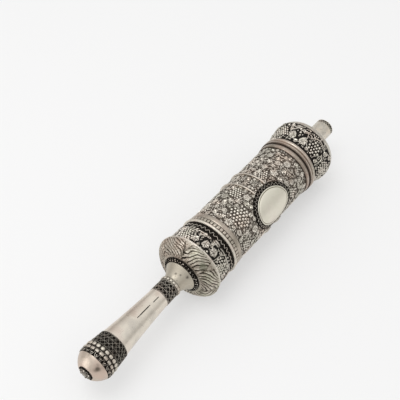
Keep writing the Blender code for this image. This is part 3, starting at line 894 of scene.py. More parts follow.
# seams are (first station, last station, degrees, width)
handle = {"start": 9.8, "end": 95.9, "startRadius": 12.7, "bigRadius": 12.0, "smallRadius": 8.0,
          "taper": 1.55, "wall": 0.7, "sunk": 0.8,
          "seams": ((53.2, 57.0, 19.4, 0.6), (56.9, 66.0, 19.5, 0.78), (65.9, 67.8, 19.6, 0.5),
                    (71.2, 77.4, 21.3, 0.62)),
          "blotches": ((52.5, -24, 10.3, 7, 0.6), (38, -35, 11.4, 4, 0.4), (78, 2, 8.3, 3, 0.45))}


def handleRadius(station):
    share = (handle["end"] - station) / (handle["end"] - lattice["wide"]["last"])
    return handle["smallRadius"] + (handle["bigRadius"] - handle["smallRadius"]) * share ** handle["taper"]


def cutSlit(piece, near, far, degrees, width):
    # a thin box cut through the wall
    turn = math.radians(degrees)
    middle = (near + far) / 2
    deselectAll()
    bpy.ops.mesh.primitive_cube_add(size=1, location=roundAt(middle, handleRadius(middle), turn))
    cutter = bpy.context.object
    cutter.scale = (far - near, width, 4)
    cutter.rotation_euler.x = turn
    pick(piece)
    slit = piece.modifiers.new("seam", "BOOLEAN")
    slit.object = cutter
    bpy.ops.object.modifier_apply(modifier="seam")
    bpy.data.objects.remove(cutter)


def handleShadeAndBlotches(vert):
    # painted shade: the upper side is made pinker and darker, with a few real stain blotches
    degrees = math.degrees(math.atan2(-vert.co.y, vert.co.z))
    upperSideShade = 0.55 * (1 - smoothStep(-30, 35, degrees)) * smoothStep(-110, -60, degrees)
    upperSideShade *= 0.6 + 0.8 * noise.noise(vert.co * 0.09)
    return max(upperSideShade, spotted(vert, handle["blotches"]))


def makeHandleTube():
    wide, narrow, sunk = lattice["wide"], lattice["narrow"], handle["sunk"]
    first, last = wide["last"] + 0.3, narrow["first"] - 0.3
    shown = [(station, handleRadius(station)) for station in evenly(first, last, 28)]
    outside = [(handle["start"], handle["startRadius"]), (wide["first"] - 0.3, handle["startRadius"]),
               (wide["last"] + 0.15, wide["high"] - sunk)]
    outside += shown + [(last + 0.15, narrow["low"] - sunk), (handle["end"], narrow["high"] - sunk)]
    inside = [(station, radius - handle["wall"]) for station, radius in
              [outside[-1], outside[-2]] + shown[::-4] + [outside[2], outside[0]]]
    piece = spun("handleTube", outside + inside, 120)
    for seam in handle["seams"]:  # the split seam, and the fine crack beyond it
        cutSlit(piece, *seam)
    setStainAndShade(piece, handleShadeAndBlotches)
    settle(piece, "handle_tube", material=handleSilver, smooth=28)


neck = {"station": 94.4, "width": 3.0, "seat": 8.0, "radius": 8.15, "beads": 18}


def makeNeck():
    station, width, low = neck["station"], neck["width"], neck["radius"]
    ground = spun("neckBeadRing", strip(station - width / 2, station + width / 2, neck["seat"], low), 108)
    plainTone(ground, 0.78)
    beads = beadRow(cushion, station, neck["beads"], low, width / 2 * 0.98, wide=1.5, height=1.1, uneven=0.12)
    piece = decorated("neckBeadRing", ground, beads, levelTrack(low), low)
    settle(piece, "neck_bead_ring", material=beadSilver)


flare = {"first": 96.2, "last": 106.2, "footEnd": 108.3, "radii": (8.0, 13.4), "power": 1.6, "wall": 0.9,
         "stains": ((104.2, 48, 11.8, 1.8, 0.85), (101.7, 24, 10.1, 1.1, 0.7), (100.4, 4, 9.4, 1.4, 0.75),
                    (99.2, 10, 8.9, 0.7, 0.5), (97.4, 30, 8.3, 0.9, 0.5), (97.2, -12, 8.3, 0.9, 0.4))}


def makeFlare():
    first, last = flare["first"], flare["last"]
    low, high = flare["radii"]
    outside = [(first + (last - first) * share, low + (high - low) * share ** flare["power"])
               for share in evenly(0, 1, 20)] + [(flare["footEnd"], high)]
    inside = [(station, radius - flare["wall"]) for station, radius in [outside[-1]] + outside[-2::-3]]
    piece = spun("flareFoot", outside + inside, 132)
    setStainAndShade(piece, lambda vert: spotted(vert, flare["stains"]))
    settle(piece, "flare", material=shadedFlareSilver, smooth=40)


# the face is two (station, radius) points, and its rows of berries are (share of the face, count, size)
ropeRing = {"face": ((106.5, 13.7), (107.7, 16.35)), "back": 108.3, "spread": 15.5,
            "rows": ((0.3, 31, 0.36), (0.72, 37, 0.42))}


def makeRopeRing():
    (x0, r0), (x1, r1) = ropeRing["face"]
    ground = spun("flareRopeRing", [(x0, r0), (x1, r1), (ropeRing["back"], r1), (ropeRing["back"], r0)], 144)
    plainTone(ground, 0)
    stops = track(ropeRing["face"])
    first, last = stops[0][0], stops[-1][0]
    berries = []
    for share, count, size in ropeRing["rows"]:
        berries += beadRow(berry, first + (last - first) * share, count, ropeRing["spread"], size,
                           wide=size * 1.1, height=0.3, uneven=0.55)
    piece = decorated("flareRopeRing", ground, berries, stops, ropeRing["spread"])
    settle(piece, "flare_rope_ring", material=filigree)


baseSleeve = 24.6  # the radius on which the base's bands sit

# strands bend from the root to the crest, and swirls gives each lobe's way round
bulb = {"face": 108.6, "crest": 118.0, "end": 119.2, "rootRadius": 17.4, "crestRadius": 28.3,
        "roundness": 1.8, "mouth": 12.7, "wall": 0.9, "lobes": 7, "lobeDepth": 1.2, "strands": 2.9,
        "bend": 4.6, "strandHeight": 0.42, "swirls": (1, -1, 1, 1, -1, 1, -1), "around": 462, "rows": 72,
        "stains": ((112.4, 43, 25.4, 4.2, 0.62), (114.6, 34, 26.8, 2.6, 0.4))}


def bulbProfile():
    # from the root of the face out to the crest and the short fall behind it
    power = 2 / bulb["roundness"]
    face, crest, low, high = bulb["face"], bulb["crest"], bulb["rootRadius"], bulb["crestRadius"]
    points = [(crest - (crest - face) * math.cos(a) ** power, low + (high - low) * math.sin(a) ** power)
              for a in evenly(0, math.pi / 2, bulb["rows"])]
    return points + [(crest + 0.6, high - 0.06), (bulb["end"], high - 0.25)]


def carvedAt(vert, radius, share):
    # the tone and the place of a point on the carved face, share of the way from the root to the crest
    turn = math.atan2(-vert.co.y, vert.co.z)
    lobe = (math.pi - turn) * bulb["lobes"] / (2 * math.pi) + 0.5
    across = lobe % 1 * 2 - 1  # -1 at the lower edge of a lobe, 1 at the upper
    valley = 1 - abs(math.cos(bulb["lobes"] * (turn - math.pi) / 2))
    station = (vert.co.x - bulb["face"]) / (bulb["end"] - bulb["face"])
    sink = bulb["lobeDepth"] * math.sin(math.pi * min(station, 1)) * valley
    # hair-like strands leave the root along the axis and bend round towards the crest
    swirl = bulb["swirls"][int(lobe % bulb["lobes"])]
    sweep = swirl * across * bulb["strands"] + bulb["bend"] * share ** 2.1
    sweep += noise.noise(vert.co * 0.09) * 1.5 + noise.noise(vert.co * 0.3) * 0.3
    strand = 0.5 + 0.5 * math.cos(2 * math.pi * sweep)
    fine = 0.5 + 0.5 * math.cos(4 * math.pi * sweep + 1.3 + 2 * noise.noise(vert.co * 0.3))
    cutIn = 1 - smoothStep(0.0, 0.26, strand)
    # a plain petal edge along each lobe, with a line cut beside it
    petalEdge = 1 - 0.22 * smoothStep(0.5, 0.95, share)
    petal = smoothStep(petalEdge - 0.04, petalEdge + 0.04, abs(across)) * smoothStep(0.5, 0.6, share)
    outlined = (1 - smoothStep(0, 0.07, abs(abs(across) - petalEdge + 0.03))) * smoothStep(0.18, 0.4, share)
    margin = smoothStep(0.02, 0.11, share) * (1 - smoothStep(0.93, 0.97, share))
    carved = margin * (1 - petal)
    faint = 0.9 + 0.8 * noise.noise(vert.co * 0.17)
    dark = carved * faint * (1.05 * cutIn + 0.34 * (1 - fine))
    tone = 0.86 - 0.13 * (1 - smoothStep(0.1, 0.55, share)) - dark
    tone += carved * 0.12 * strand - 0.45 * outlined * margin - 0.2 * petal * margin
    lift = bulb["strandHeight"] * carved * (strand * 0.8 + fine * 0.2 - 0.35) - 0.3 * outlined * margin
    grow = (radius - sink) / radius
    place = Vector((vert.co.x, vert.co.y * grow, vert.co.z * grow)) + vert.normal * lift
    return min(max(tone, 0), 1), place


def makeBulb():
    wall, face, profile = bulb["wall"], bulb["face"], bulbProfile()
    inside = [(station + wall * 0.6, radius - wall) for station, radius in profile[-3:12:-12]]
    outline = [(face, bulb["mouth"])] + profile + [(bulb["end"], profile[-1][1] - wall)] + inside
    outline += [(face + wall, bulb["rootRadius"] - 1), (face + wall, bulb["mouth"])]
    piece = spun("baseBulb", outline, bulb["around"])
    stops = track(profile)
    start, total = stops[0][0], stops[-1][0] - stops[0][0]
    lengthAt = {round(radius, 3): along - start for along, _, radius in stops[:bulb["rows"] + 1]}
    tones, stains, places = [], [], []
    for vert in piece.data.vertices:
        radius = math.hypot(vert.co.y, vert.co.z)
        along = lengthAt.get(round(radius, 3))
        if along is None and vert.co.x > bulb["crest"] - 0.01 and radius > bulb["crestRadius"] - 0.5:
            along = total
        if along is None:  # the inside stays plain
            tone, place, stainAndShade = 0.6, vert.co.copy(), 0
        else:
            tone, place = carvedAt(vert, radius, along / total)
            stainAndShade = spotted(vert, bulb["stains"])
        tones.append(tone)
        places.append(place)
        stains.append(stainAndShade)
    for vert, place in zip(piece.data.vertices, places):
        vert.co = place
    setTone(piece, lambda vert: tones[vert.index])
    setStainAndShade(piece, lambda vert: stains[vert.index])
    settle(piece, "base_bulb", material=bulbSilver, smooth=60)


# each is (first station, last station, inner radius, outer radius, corner)
baseRings = {"wire": (119.4, 121.4, 24.9, 27.6, 0.9), "rim": (141.6, 144.0, baseSleeve, 26.4, 1.0)}


def makeBaseRings():
    settle(spun("baseWireRing", roundedBand(*baseRings["wire"]), 168), "base_wire_ring",
           material=satin)
    settle(spun("baseRimRing", roundedBand(*baseRings["rim"]), 168), "base_rim_ring",
           material=rimSilver)


# links are how far a tendril reaches, and the smallest ornament that it runs to
drum = {"outline": ((121.8, 25.2), (128.7, 25.5), (135.7, 25.2)), "spread": 26.0, "repeats": 4,
        "stem": 0.46, "links": (7.5, 1.7), "fillFrom": 121.9, "fillTo": 135.6}
drumMotifs = [
    ("vine", 127.4, 4.6, 250, 4.5), ("vine", 127.2, -4.9, 110, 4.8), ("berry", 123.4, -0.2, 0, 1.1),
    ("flower", 133.4, 9.6, 0, 2.3), ("vine", 126.6, 13.6, 200, 4.0),
    ("grapes", 126.8, -18.4, 6.2, 8.2, 2.6, 0), ("grapes", 125.6, 22.2, 4.2, 4.6, 2.4, 0),
    ("curlLeft", 132.0, 0.2, 30, 1.7), ("curlRight", 123.4, 9.2, 0, 1.6), ("oval", 134.2, -1.6, 86, 4.2),
    ("frond", 133.2, 0, [(0.6, 26), (0.4, 23), (0.2, 20), (-0.4, 17.5), (-1.2, 15.4)], 2.6),
    ("stem", 133.6, 0, [(0.4, -6.2), (0.7, -9.4), (0.4, -12.6), (0, -16), (-0.4, -20), (0, -24)]),
    ("stem", 133.6, 0, [(0.2, 4), (-0.4, 6.4), (0.3, 9), (0.7, 12), (0.4, 15.4)]),
    ("stem", 122.2, 0, [(0.4, -8.9), (3.8, -9.6), (7.4, -10), (11.4, -12.6)]),
    ("stem", 122.4, 0, [(0.2, -10.6), (3.4, -11.2), (7, -12.4)]),
]


def makeDrum():
    outline = list(drum["outline"])
    ground = spun("baseDrum", outline + [(outline[-1][0], baseSleeve), (outline[0][0], baseSleeve)], 168)
    plainTone(ground, 0.03)
    sheet = newSheet(drum["spread"])
    low, high = drum["fillFrom"], drum["fillTo"]
    putMotifs(sheet, drumMotifs, drum["repeats"])
    fillIn(sheet, low, high - 0.2, [("flower", 1.6, 2.2, 90), ("curlLeft", 1.3, 1.8, 400),
                                    ("curlRight", 1.0, 1.4, 400)])
    linkUp(sheet, *drum["links"])
    fillIn(sheet, low, high, [("oval", 1.0, 1.6, 900), ("berry", 0.5, 0.7, 1500)])
    piece = decorated("baseDrum", ground, ornamentOf(sheet, drum["stem"]), track(outline), drum["spread"])
    settle(piece, "base_drum", material=lidSilver)


zigzag = {"first": 135.8, "last": 141.4, "radius": 25.15, "spread": 25.7, "count": 40, "wire": 0.22}


def makeZigzag():
    first, last, radius, count = zigzag["first"], zigzag["last"], zigzag["radius"], zigzag["count"]
    ground = spun("baseZigzagBand", strip(first, last, baseSleeve, radius), 168)
    plainTone(ground, 0)
    around = 2 * math.pi * zigzag["spread"]
    path = []
    for i in range(count):  # every turn of the wire is a little different
        reach, slip = rng.uniform(0.8, 1.15), rng.uniform(-0.25, 0.25)
        for out, share in ((1.3, 0), (2.0, 0.2), (3.0 * reach, 0.42), (3.3 * reach, 0.56), (2.3, 0.78)):
            path.append((first + out, (i + share) * around / count + slip, 0.2))
    path.append((path[0][0], path[0][1] + around, 0.2))
    wires = [wire("zigzagWires", [dense(path)], zigzag["wire"])]
    stops = straightTrack(first, radius, last, radius)
    piece = decorated("baseZigzagBand", ground, wires, stops, zigzag["spread"])
    settle(piece, "base_zigzag_band", material=filigree)


collar = {"first": 144.1, "step": 147.9, "last": 151.7, "low": 25.15, "plain": 25.3, "beads": 50}


def makeCollar():
    first, step, last = collar["first"], collar["step"], collar["last"]
    low, plain, count = collar["low"], collar["plain"], collar["beads"]
    outline = [(first, baseSleeve), (first, low), (step - 0.2, low), (step, plain - 0.1),
               (step + 0.15, plain), (last - 0.5, plain), (last - 0.15, plain - 0.12), (last, plain - 0.4),
               (last, baseSleeve)]
    ground = spun("baseCollar", outline, 168)
    setTone(ground, lambda vert: 0.1 if vert.co.x < step - 0.1 or vert.co.x > last - 0.1 else 0.8)
    pitch = 2 * math.pi * low / count
    beads = beadRow(block, (first + step) / 2 - 0.05, count, low, 1.5, wide=pitch * 0.45, height=0.8,
                    uneven=0.07)
    piece = decorated("baseCollar", ground, beads, levelTrack(low), low)
    settle(piece, "base_collar", material=collarSilver)


tube = {"start": 122.5, "end": 249.8, "radius": 24.35, "wall": 0.9, "relief": 0.74, "stem": 0.4,
        "spread": 24.5, "darkFrom": 249.5, "links": (9, 1.9)}
cartouche = {"station": 199.2, "angle": 60.0, "plate": (18.6, 14.2), "frame": (22.2, 17.8), "zigzags": 35,
             "wire": 0.12}
cartouche["arc"] = math.radians(frontAngle - cartouche["angle"]) * tube["spread"]
lowerMotifs = [
    ("grapes", 167, 0, 8.0, 10.0, 2.9, 0), ("grapes", 183.5, 17, 6.5, 5.0, 2.3, 60),
    ("grapes", 160, -22, 6, 4.5, 2.3, 0), ("star", 156, 3.6, 0, 4.4), ("vine", 157.2, -8.5, 150, 3.4),
    ("star", 184.4, 6.4, 20, 4.0), ("vine", 172, -16.6, 40, 4.6), ("vine", 176, 22.6, 0, 4.4),
    ("fan", 157.6, 12.6, 200, 4.6), ("curlLeft", 177, 10.4, 200, 2.5), ("curlRight", 179.2, 3.0, 90, 2.6),
    ("curlLeft", 155, -14.5, 0, 2.3), ("curlRight", 163.4, -13.6, 90, 2.4),
    ("curlLeft", 169.6, 17.4, 0, 2.7), ("vine", 187, -5, 330, 3.4), ("vine", 181.6, -7.6, 210, 3.8),
    ("fan", 187.2, -17.5, 180, 4.2), ("curlRight", 180, -15.8, 0, 2.5), ("flower", 163.3, 20.6, 0, 2.4),
    ("flower", 186.3, -24.4, 0, 2.2), ("stem", 152.6, 0, [(0, -3.8), (5, -3.4), (7.6, -1.2)]),
    ("stem", 175.5, 0, [(0, -2), (3.6, -2.6), (5, -5)]),
    ("stem", 176, 0, [(0.4, 13.4), (-2.5, 12.8), (-5, 11)]),
]
middleMotifs = [
    ("stem", 197, 0, [(0, 9.9), (3, 10.2), (6, 9.8)]), ("stem", 197, 0, [(0, 8.6), (3, 8.9), (6, 8.5)]),
    ("stem", 193, 0, [(0.2, 3), (3.4, 5.6), (7, 8)]), ("stem", 193, 0, [(0.2, 8), (3.4, 5.4), (7, 3)]),
    ("curlLeft", 202.2, 5.8, 180, 2.1), ("curlRight", 194.6, 0.2, 0, 1.7), ("oval", 199.0, 1.2, 20, 2.0),
    ("flower", 203.4, 0.8, 0, 1.7),
]
upperMotifs = [
    ("star", 220, 5, 10, 4.6), ("oval", 225.6, 9.8, 90, 3.4), ("star", 235.6, 2.2, 40, 4.2),
    ("vine", 230.4, 8.6, 300, 3.4), ("curlLeft", 240.0, 6.4, 0, 1.9),
    ("grapes", 213.2, 10, 4.6, 3.8, 2.1, 0), ("fan", 239.4, -8.4, 180, 3.9),
    ("fan", 238, -18.4, 190, 6.6, 9, 190), ("vine", 213.6, -2.4, 170, 3.9), ("star", 222, -8.4, 0, 3.8),
    ("grapes", 226, -19, 5.4, 4.0, 2.2, 0), ("vine", 213.4, -17, 60, 3.8),
    ("curlRight", 227.2, -0.4, 90, 2.5), ("curlLeft", 214, -10.4, 0, 2.5), ("fan", 222, 18.6, 90, 4.2),
    ("vine", 234.6, 19, 20, 4.0), ("curlRight", 228.6, 15.4, 0, 2.4), ("flower", 240, 13.8, 0, 2.2),
    ("flower", 213.6, 20.6, 0, 2.4), ("stem", 208, 0, [(0, 4), (4, 2.6), (8, 1)]),
    ("stem", 228, 0, [(0, -5.6), (4, -4.6), (8, -3.6)]),
]
# each zone is (first station, last station, motifs, how often they repeat round the tube)
tubeZones = [(151.2, 190.7, lowerMotifs, 3), (192.2, 205.1, middleMotifs, 13), (206.6, 244.6, upperMotifs, 3)]
tubeFill = [("vine", 3.2, 4.0, 200), ("curlLeft", 2.1, 2.7, 500), ("curlRight", 1.6, 2.1, 900),
            ("flower", 1.6, 2.3, 300)]
smallFill = [("oval", 1.3, 2.2, 2500), ("oval", 1.0, 1.4, 2500), ("berry", 0.55, 0.9, 3000)]


def clearOval(sheet):
    # nothing is chased under the cartouche
    long, wide = (half - 0.6 for half in cartouche["frame"])

    def covered(u, v):
        away = (v - cartouche["arc"] + sheet["around"] / 2) % sheet["around"] - sheet["around"] / 2
        return ((u - cartouche["station"]) / long) ** 2 + (away / wide) ** 2 < 1

    kept = []
    for copy in sheet["copies"]:
        middle = sum((vert.co for vert in copy.data.vertices), Vector()) / len(copy.data.vertices)
        if covered(middle.x, middle.y):
            bpy.data.objects.remove(copy)
        else:
            kept.append(copy)
    sheet["copies"] = kept
    sheet["stems"] = [path for path in sheet["stems"] if not any(covered(u, v) for u, v, _ in path)]


def makeTube():
    first, last, radius, wall = tube["start"], tube["end"], tube["radius"], tube["wall"]
    outline = [(first, 0)] + [(station, radius) for station in evenly(first, tube["darkFrom"], 4) + [last]]
    outline += [(last, radius - wall), (first + wall, radius - wall), (first + wall, 0)]
    body = spun("caseTube", outline)
    setTone(body, lambda vert: 0.35 if vert.co.x > tube["darkFrom"] - 0.2 else 0.2)
    stops = straightTrack(first, radius, last, radius)
    parts = [body]
    for low, high, motifs, repeats in tubeZones:
        sheet = newSheet(tube["spread"])
        putMotifs(sheet, motifs, repeats)
        fillIn(sheet, low, high, tubeFill)
        linkUp(sheet, *tube["links"])
        fillIn(sheet, low, high, smallFill)
        clearOval(sheet)
        for copy in sheet["copies"]:
            copy.data.transform(Matrix.Diagonal((1, 1, tube["relief"], 1)))
        ornament = joined("tubeRelief", ornamentOf(sheet, tube["stem"] * tube["relief"]))
        parts.append(wrap(ornament, stops, tube["spread"]))
    settle(joined("caseTube", parts), "case_tube", material=tubeSilver)


tubeRings = {"lower": 191.4, "upper": 205.8, "wire": 0.7, "top": 26.0, "corner": 0.55, "beads": 75,
             "beading": 0.07, "gap": 0.4}


def makeTubeRing(name, node, station):
    # it stops short of the cartouche on both sides
    long, wide = cartouche["frame"]
    offset = (station - cartouche["station"]) / long
    halfTurn = math.degrees((wide * math.sqrt(1 - offset ** 2) + tubeRings["gap"]) / tube["spread"])
    size = tubeRings["wire"]
    section = roundedBand(station - size, station + size, tube["radius"] - 0.1, tubeRings["top"],
                          tubeRings["corner"])
    piece = spun(name, section, 150, cartouche["angle"] + halfTurn, 360 - 2 * halfTurn)
    for vert in piece.data.vertices:
        turn = math.atan2(vert.co.y, vert.co.z)
        out = Vector((0, vert.co.y, vert.co.z)).normalized()
        vert.co += out * tubeRings["beading"] * math.sin(turn * tubeRings["beads"])
    settle(piece, node, material=ringSilver)


moulding = {"first": 244.7, "last": 249.3, "foot": 25.3, "top": 25.8}


def makeMoulding():
    first, last, foot, top = moulding["first"], moulding["last"], moulding["foot"], moulding["top"]
    low = tube["radius"] - 0.05
    outline = [(first, low), (first + 0.15, foot - 0.1)]
    outline += [(first + 0.3 + 1.9 * share, foot + (top - foot) * math.sin(share * math.pi / 2))
                for share in evenly(0, 1, 6)]
    outline += [(last - 1.4, top), (last - 0.7, top - 0.08), (last - 0.25, top - 0.3), (last, top - 0.7),
                (last, low)]
    piece = spun("mouthMoulding", outline, 168)
    # painted highlights: the tone rises to a thin bright line low on the slope and another at the shoulder;
    # the dark ends are recesses
    toneAlong(piece, [(first, 0.2), (first + 0.4, 0.5), (first + 0.9, 0.70), (first + 1.4, 0.6),
                      (first + 1.9, 0.74), (first + 2.4, 0.74), (last - 1.5, 0.62), (last - 1.0, 0.70),
                      (last - 0.6, 0.45), (last, 0.1)])
    settle(piece, "mouth_moulding", material=bandSilver)


def ovalPiece(name, half, section):
    # oval loops from the outer edge inwards, each a (distance in from the edge, height)
    deselectAll()
    bpy.ops.mesh.primitive_circle_add(vertices=112, radius=1, location=(0, 0, 0))
    piece = bpy.context.object
    piece.name = name
    bpy.ops.object.mode_set(mode="EDIT")
    bpy.ops.mesh.select_all(action="SELECT")
    before = (1, 1)
    height = 0
    for number, (inset, level) in enumerate(section):
        if number:
            bpy.ops.mesh.extrude_region_move(TRANSFORM_OT_translate={"value": (0, 0, level - height)})
        else:
            bpy.ops.transform.translate(value=(0, 0, level))
        after = (half[0] - inset, half[1] - inset)
        grow = (after[0] / before[0], after[1] / before[1], 1)
        bpy.ops.transform.resize(value=grow, center_override=(0, 0, 0))
        before, height = after, level
    if section[0] != section[-1]:  # a plate closes at its middle, and is closed underneath
        bpy.ops.mesh.merge(type="CENTER")
        bpy.ops.mesh.select_all(action="DESELECT")
        bpy.ops.mesh.select_non_manifold()
        bpy.ops.mesh.edge_face_add()
    endEdit(weld)
    piece.data.transform(Matrix.Translation((cartouche["station"], cartouche["arc"], 0)))
    return piece


def ovalPath(half, inset, height, points):
    return [(cartouche["station"] + (half[0] - inset) * math.cos(a),
             cartouche["arc"] + (half[1] - inset) * math.sin(a), height) for a in angles(points)]


def makeCartoucheFrame():
    half, spread = cartouche["frame"], tube["spread"]
    inner = half[0] - cartouche["plate"][0] - 0.12
    section = [(0, -0.25), (0, 0.62), (0.18, 0.78), (0.5, 0.72), (0.7, 0.5), (inner - 0.15, 0.5),
               (inner, 0.45), (inner, -0.25), (0, -0.25)]
    ground = ovalPiece("cartoucheFrame", half, section)
    setTone(ground, lambda vert: 0.0 if vert.co.z < 0.74 else 0.1)
    count = cartouche["zigzags"] * 2
    outer, nearer = ovalPath(half, 0.65, 0.72, count), ovalPath(half, inner - 0.55, 0.72, count)
    path = dense([outer[i] if i % 2 else nearer[i] for i in range(count)])
    wires = wire("frameZigzag", [path], cartouche["wire"], closed=True)
    piece = wrap(joined("cartoucheFrame", [ground, wires]), levelTrack(spread), spread)
    settle(piece, "cartouche_frame", material=filigree)


def makeCartouchePlate():
    # a raised rim, a groove and a slightly domed middle
    half, spread = cartouche["plate"], tube["spread"]
    section = [(0, -0.1), (0, 1.0), (0.12, 1.3), (0.4, 1.45), (0.75, 1.40), (1.0, 1.2), (1.1, 0.95),
               (1.4, 0.95), (1.5, 1.2)]
    section += [(1.7 + (half[1] - 2.1) * share, 1.34 + 0.34 * math.sin(share * math.pi / 2))
                for share in evenly(0, 1, 8)]
    piece = wrap(ovalPiece("cartouchePlate", half, section), levelTrack(spread), spread)
    setStainAndShade(piece, lambda vert: 1 if 0.8 < math.hypot(vert.co.y, vert.co.z) - spread < 1.1 else 0)
    settle(piece, "cartouche_plate", material=plateSilver)


flange = {"first": 250.0, "last": 256.6, "top": 26.4, "groove": 25.35, "sleeveStart": 240.0, "sleeve": 23.2,
          "wall": 0.9}


def makeLidFlange():
    # two ridges with a groove between them, and the sleeve that slides into the tube
    first, last, top, groove = flange["first"], flange["last"], flange["top"], flange["groove"]
    start, sleeve = flange["sleeveStart"], flange["sleeve"]
    bore = sleeve - flange["wall"]
    outline = [(start, sleeve), (first, sleeve), (first, top - 0.5), (first + 0.2, top - 0.2),
               (first + 0.6, top), (first + 1.9, top + 0.02), (first + 2.5, top - 0.25),
               (first + 3.0, groove + 0.15), (first + 3.3, groove), (first + 3.7, groove + 0.05),
               (first + 4.1, top - 0.35), (first + 4.5, top - 0.05), (first + 5.0, top + 0.05),
               (first + 5.3, top - 0.1), (first + 5.7, top + 0.02), (last - 0.3, top - 0.1),
               (last - 0.1, top - 0.35), (last, top - 0.7), (last, bore), (start, bore)]
    piece = spun("lidFlange", outline, 168)
    toneAlong(piece, [(first - 0.1, 0.1), (first, 0.2), (first + 0.6, 0.5), (first + 1.3, 0.87),
                      (first + 2.4, 0.89), (first + 3.0, 0.62), (first + 3.6, 0.6), (first + 4.1, 0.66),
                      (first + 4.5, 0.86), (first + 5.0, 0.86), (first + 5.3, 0.6), (first + 5.7, 0.86),
                      (last - 0.3, 0.7), (last, 0.1)])
    settle(piece, "lid_flange", material=bandSilver)


bulge = {"start": 256.65, "waist": (258.0, 25.0), "crest": (275.2, 28.3), "end": 282.5, "fall": 8.2,
         "wall": 1.4, "depth": 0.45, "stem": 0.5, "repeats": 3, "links": (9, 1.8), "darkStart": 2.3,
         "plainFrom": 277.6}
lidMotifs = [
    ("vine", 265.8, 18.6, 130, 5.4), ("vine", 264.9, 7.2, 230, 5.4), ("oval", 274.8, 17.6, 92, 4.6),
    ("oval", 273.0, 11.4, 60, 3.2), ("oval", 273.4, 7.6, 120, 2.6), ("berry", 270.2, 13.6, 0, 1.3),
    ("grapes", 266.0, -5.4, 5.8, 6.2, 2.85, 180), ("grapes", 267.6, -26, 6.2, 6.6, 2.5, 180),
    ("grapes", 266.5, 27.6, 5, 5, 2.5, 0), ("curlLeft", 273.8, -16.4, 90, 2.7),
    ("curlRight", 261.6, -14.8, 0, 2.4), ("stem", 270, 0, [(0.4, 3.2), (3.4, 1.2), (6.4, 3.6)]),
    ("stem", 270, 0, [(3.4, 1.2), (5.2, -2.4), (5.6, -6), (4.6, -9.6), (5.4, -12.4)]),
    ("stem", 270, 0, [(5.4, -5), (7.4, -4), (9.0, -4.4)]),
    ("stem", 270, 0, [(5.2, -9), (7.2, -9.6), (9, -8.6)]),
    ("stem", 259.4, 0, [(0, -9.6), (2.6, -10.4), (6.6, -12.6), (9, -16)]),
    ("stem", 259.4, 0, [(0, -17.4), (3.4, -18.8), (8.4, -18), (10.4, -14)]),
    ("vine", 276.2, -22.4, 20, 3.0), ("vine", 261.4, 13, 200, 2.7), ("vine", 261.4, -0.2, 170, 2.5),
    ("curlLeft", 275.4, 24.0, 0, 2.2), ("curlRight", 271.0, 23.4, 0, 2.0),
]


def bulgeRadius(station):
    (waist, low), (crest, high) = bulge["waist"], bulge["crest"]
    if station <= crest:
        share = max(station - waist, 0) / (crest - waist)
        return low + (high - low) * math.sin(share * math.pi / 2) ** 2
    return low + (high - low) * math.sqrt(1 - ((station - crest) / bulge["fall"]) ** 2)


def makeLidBulge():
    start, end, plainFrom = bulge["start"], bulge["end"], bulge["plainFrom"]
    waist, (crest, spread) = bulge["waist"][0], bulge["crest"]
    stations = [start] + evenly(waist, crest, 14)
    stations += [crest + (end - crest) * math.sin(share * math.pi / 2) for share in evenly(0, 1, 20)[1:]]
    outside = []
    for station in stations:  # the chased ground lies lower than the plain rim
        sunk = 1 - smoothStep(plainFrom - 0.4, plainFrom + 0.3, station)
        outside.append((station, bulgeRadius(station) - bulge["depth"] * sunk))
    inside = [(station, bulgeRadius(station) - bulge["wall"]) for station in stations[::-3]]
    ground = spun("lidBulge", outside + inside, 168)
    toneAlong(ground, [(start, 0.02), (plainFrom - 0.1, 0.02), (plainFrom + 0.6, 0.85)])
    sheet = newSheet(spread)
    putMotifs(sheet, lidMotifs, bulge["repeats"])
    stops = track(outside)
    low = stops[0][0] + bulge["darkStart"]
    fillIn(sheet, low, plainFrom, [("vine", 2.6, 3.4, 100), ("curlLeft", 1.8, 2.5, 400),
                                   ("curlRight", 1.4, 1.9, 700), ("flower", 1.5, 2.0, 200)])
    linkUp(sheet, *bulge["links"])
    fillIn(sheet, low, plainFrom, [("oval", 1.2, 2.0, 1500), ("berry", 0.55, 0.85, 2500)])
    piece = decorated("lidBulge", ground, ornamentOf(sheet, bulge["stem"]), stops, spread)
    settle(piece, "lid_bulge", material=lidSilver)


lidRing = {"station": 283.6, "radius": 24.0, "wire": 0.95}


def makeLidRing():
    station, radius, size = lidRing["station"], lidRing["radius"], lidRing["wire"]
    section = [(station + size * math.cos(a), radius + size * math.sin(a)) for a in angles(16)]
    settle(spun("lidRimRing", section, 168), "lid_rim_ring", material=satin)


# start and end are (station, radius), and the sagitta is how far the dome bows out between them
lidDome = {"start": (284.7, 23.4), "end": (296.2, 9.0), "sagitta": 0.9, "wall": 0.9, "bore": 6.2}


def makeLidDome():
    start, end = Vector(lidDome["start"]), Vector(lidDome["end"])
    across = Vector((start.y - end.y, end.x - start.x)).normalized()
    outside = []
    for share in evenly(0, 1, 20):
        point = start.lerp(end, share) + across * 4 * lidDome["sagitta"] * share * (1 - share)
        outside.append((point.x, point.y))
    inside = [(station - 0.2, radius - 1.3) for station, radius in outside[:-2:4]]
    last, under = lidDome["end"][0], lidDome["end"][0] - lidDome["wall"]
    outline = [(last, 0)] + outside[::-1] + inside + [(under, lidDome["bore"]), (under, 0)]
    settle(spun("lidDome", outline, 144), "lid_dome", material=polished, smooth=40)


finial = {"first": 296.3, "last": 315.0, "radius": 8.35, "seat": 7.85, "wall": 0.9}
finialBand = {"first": 311.1, "last": 314.8, "radius": 8.0, "spread": 8.25, "cells": 24, "wire": 0.2}


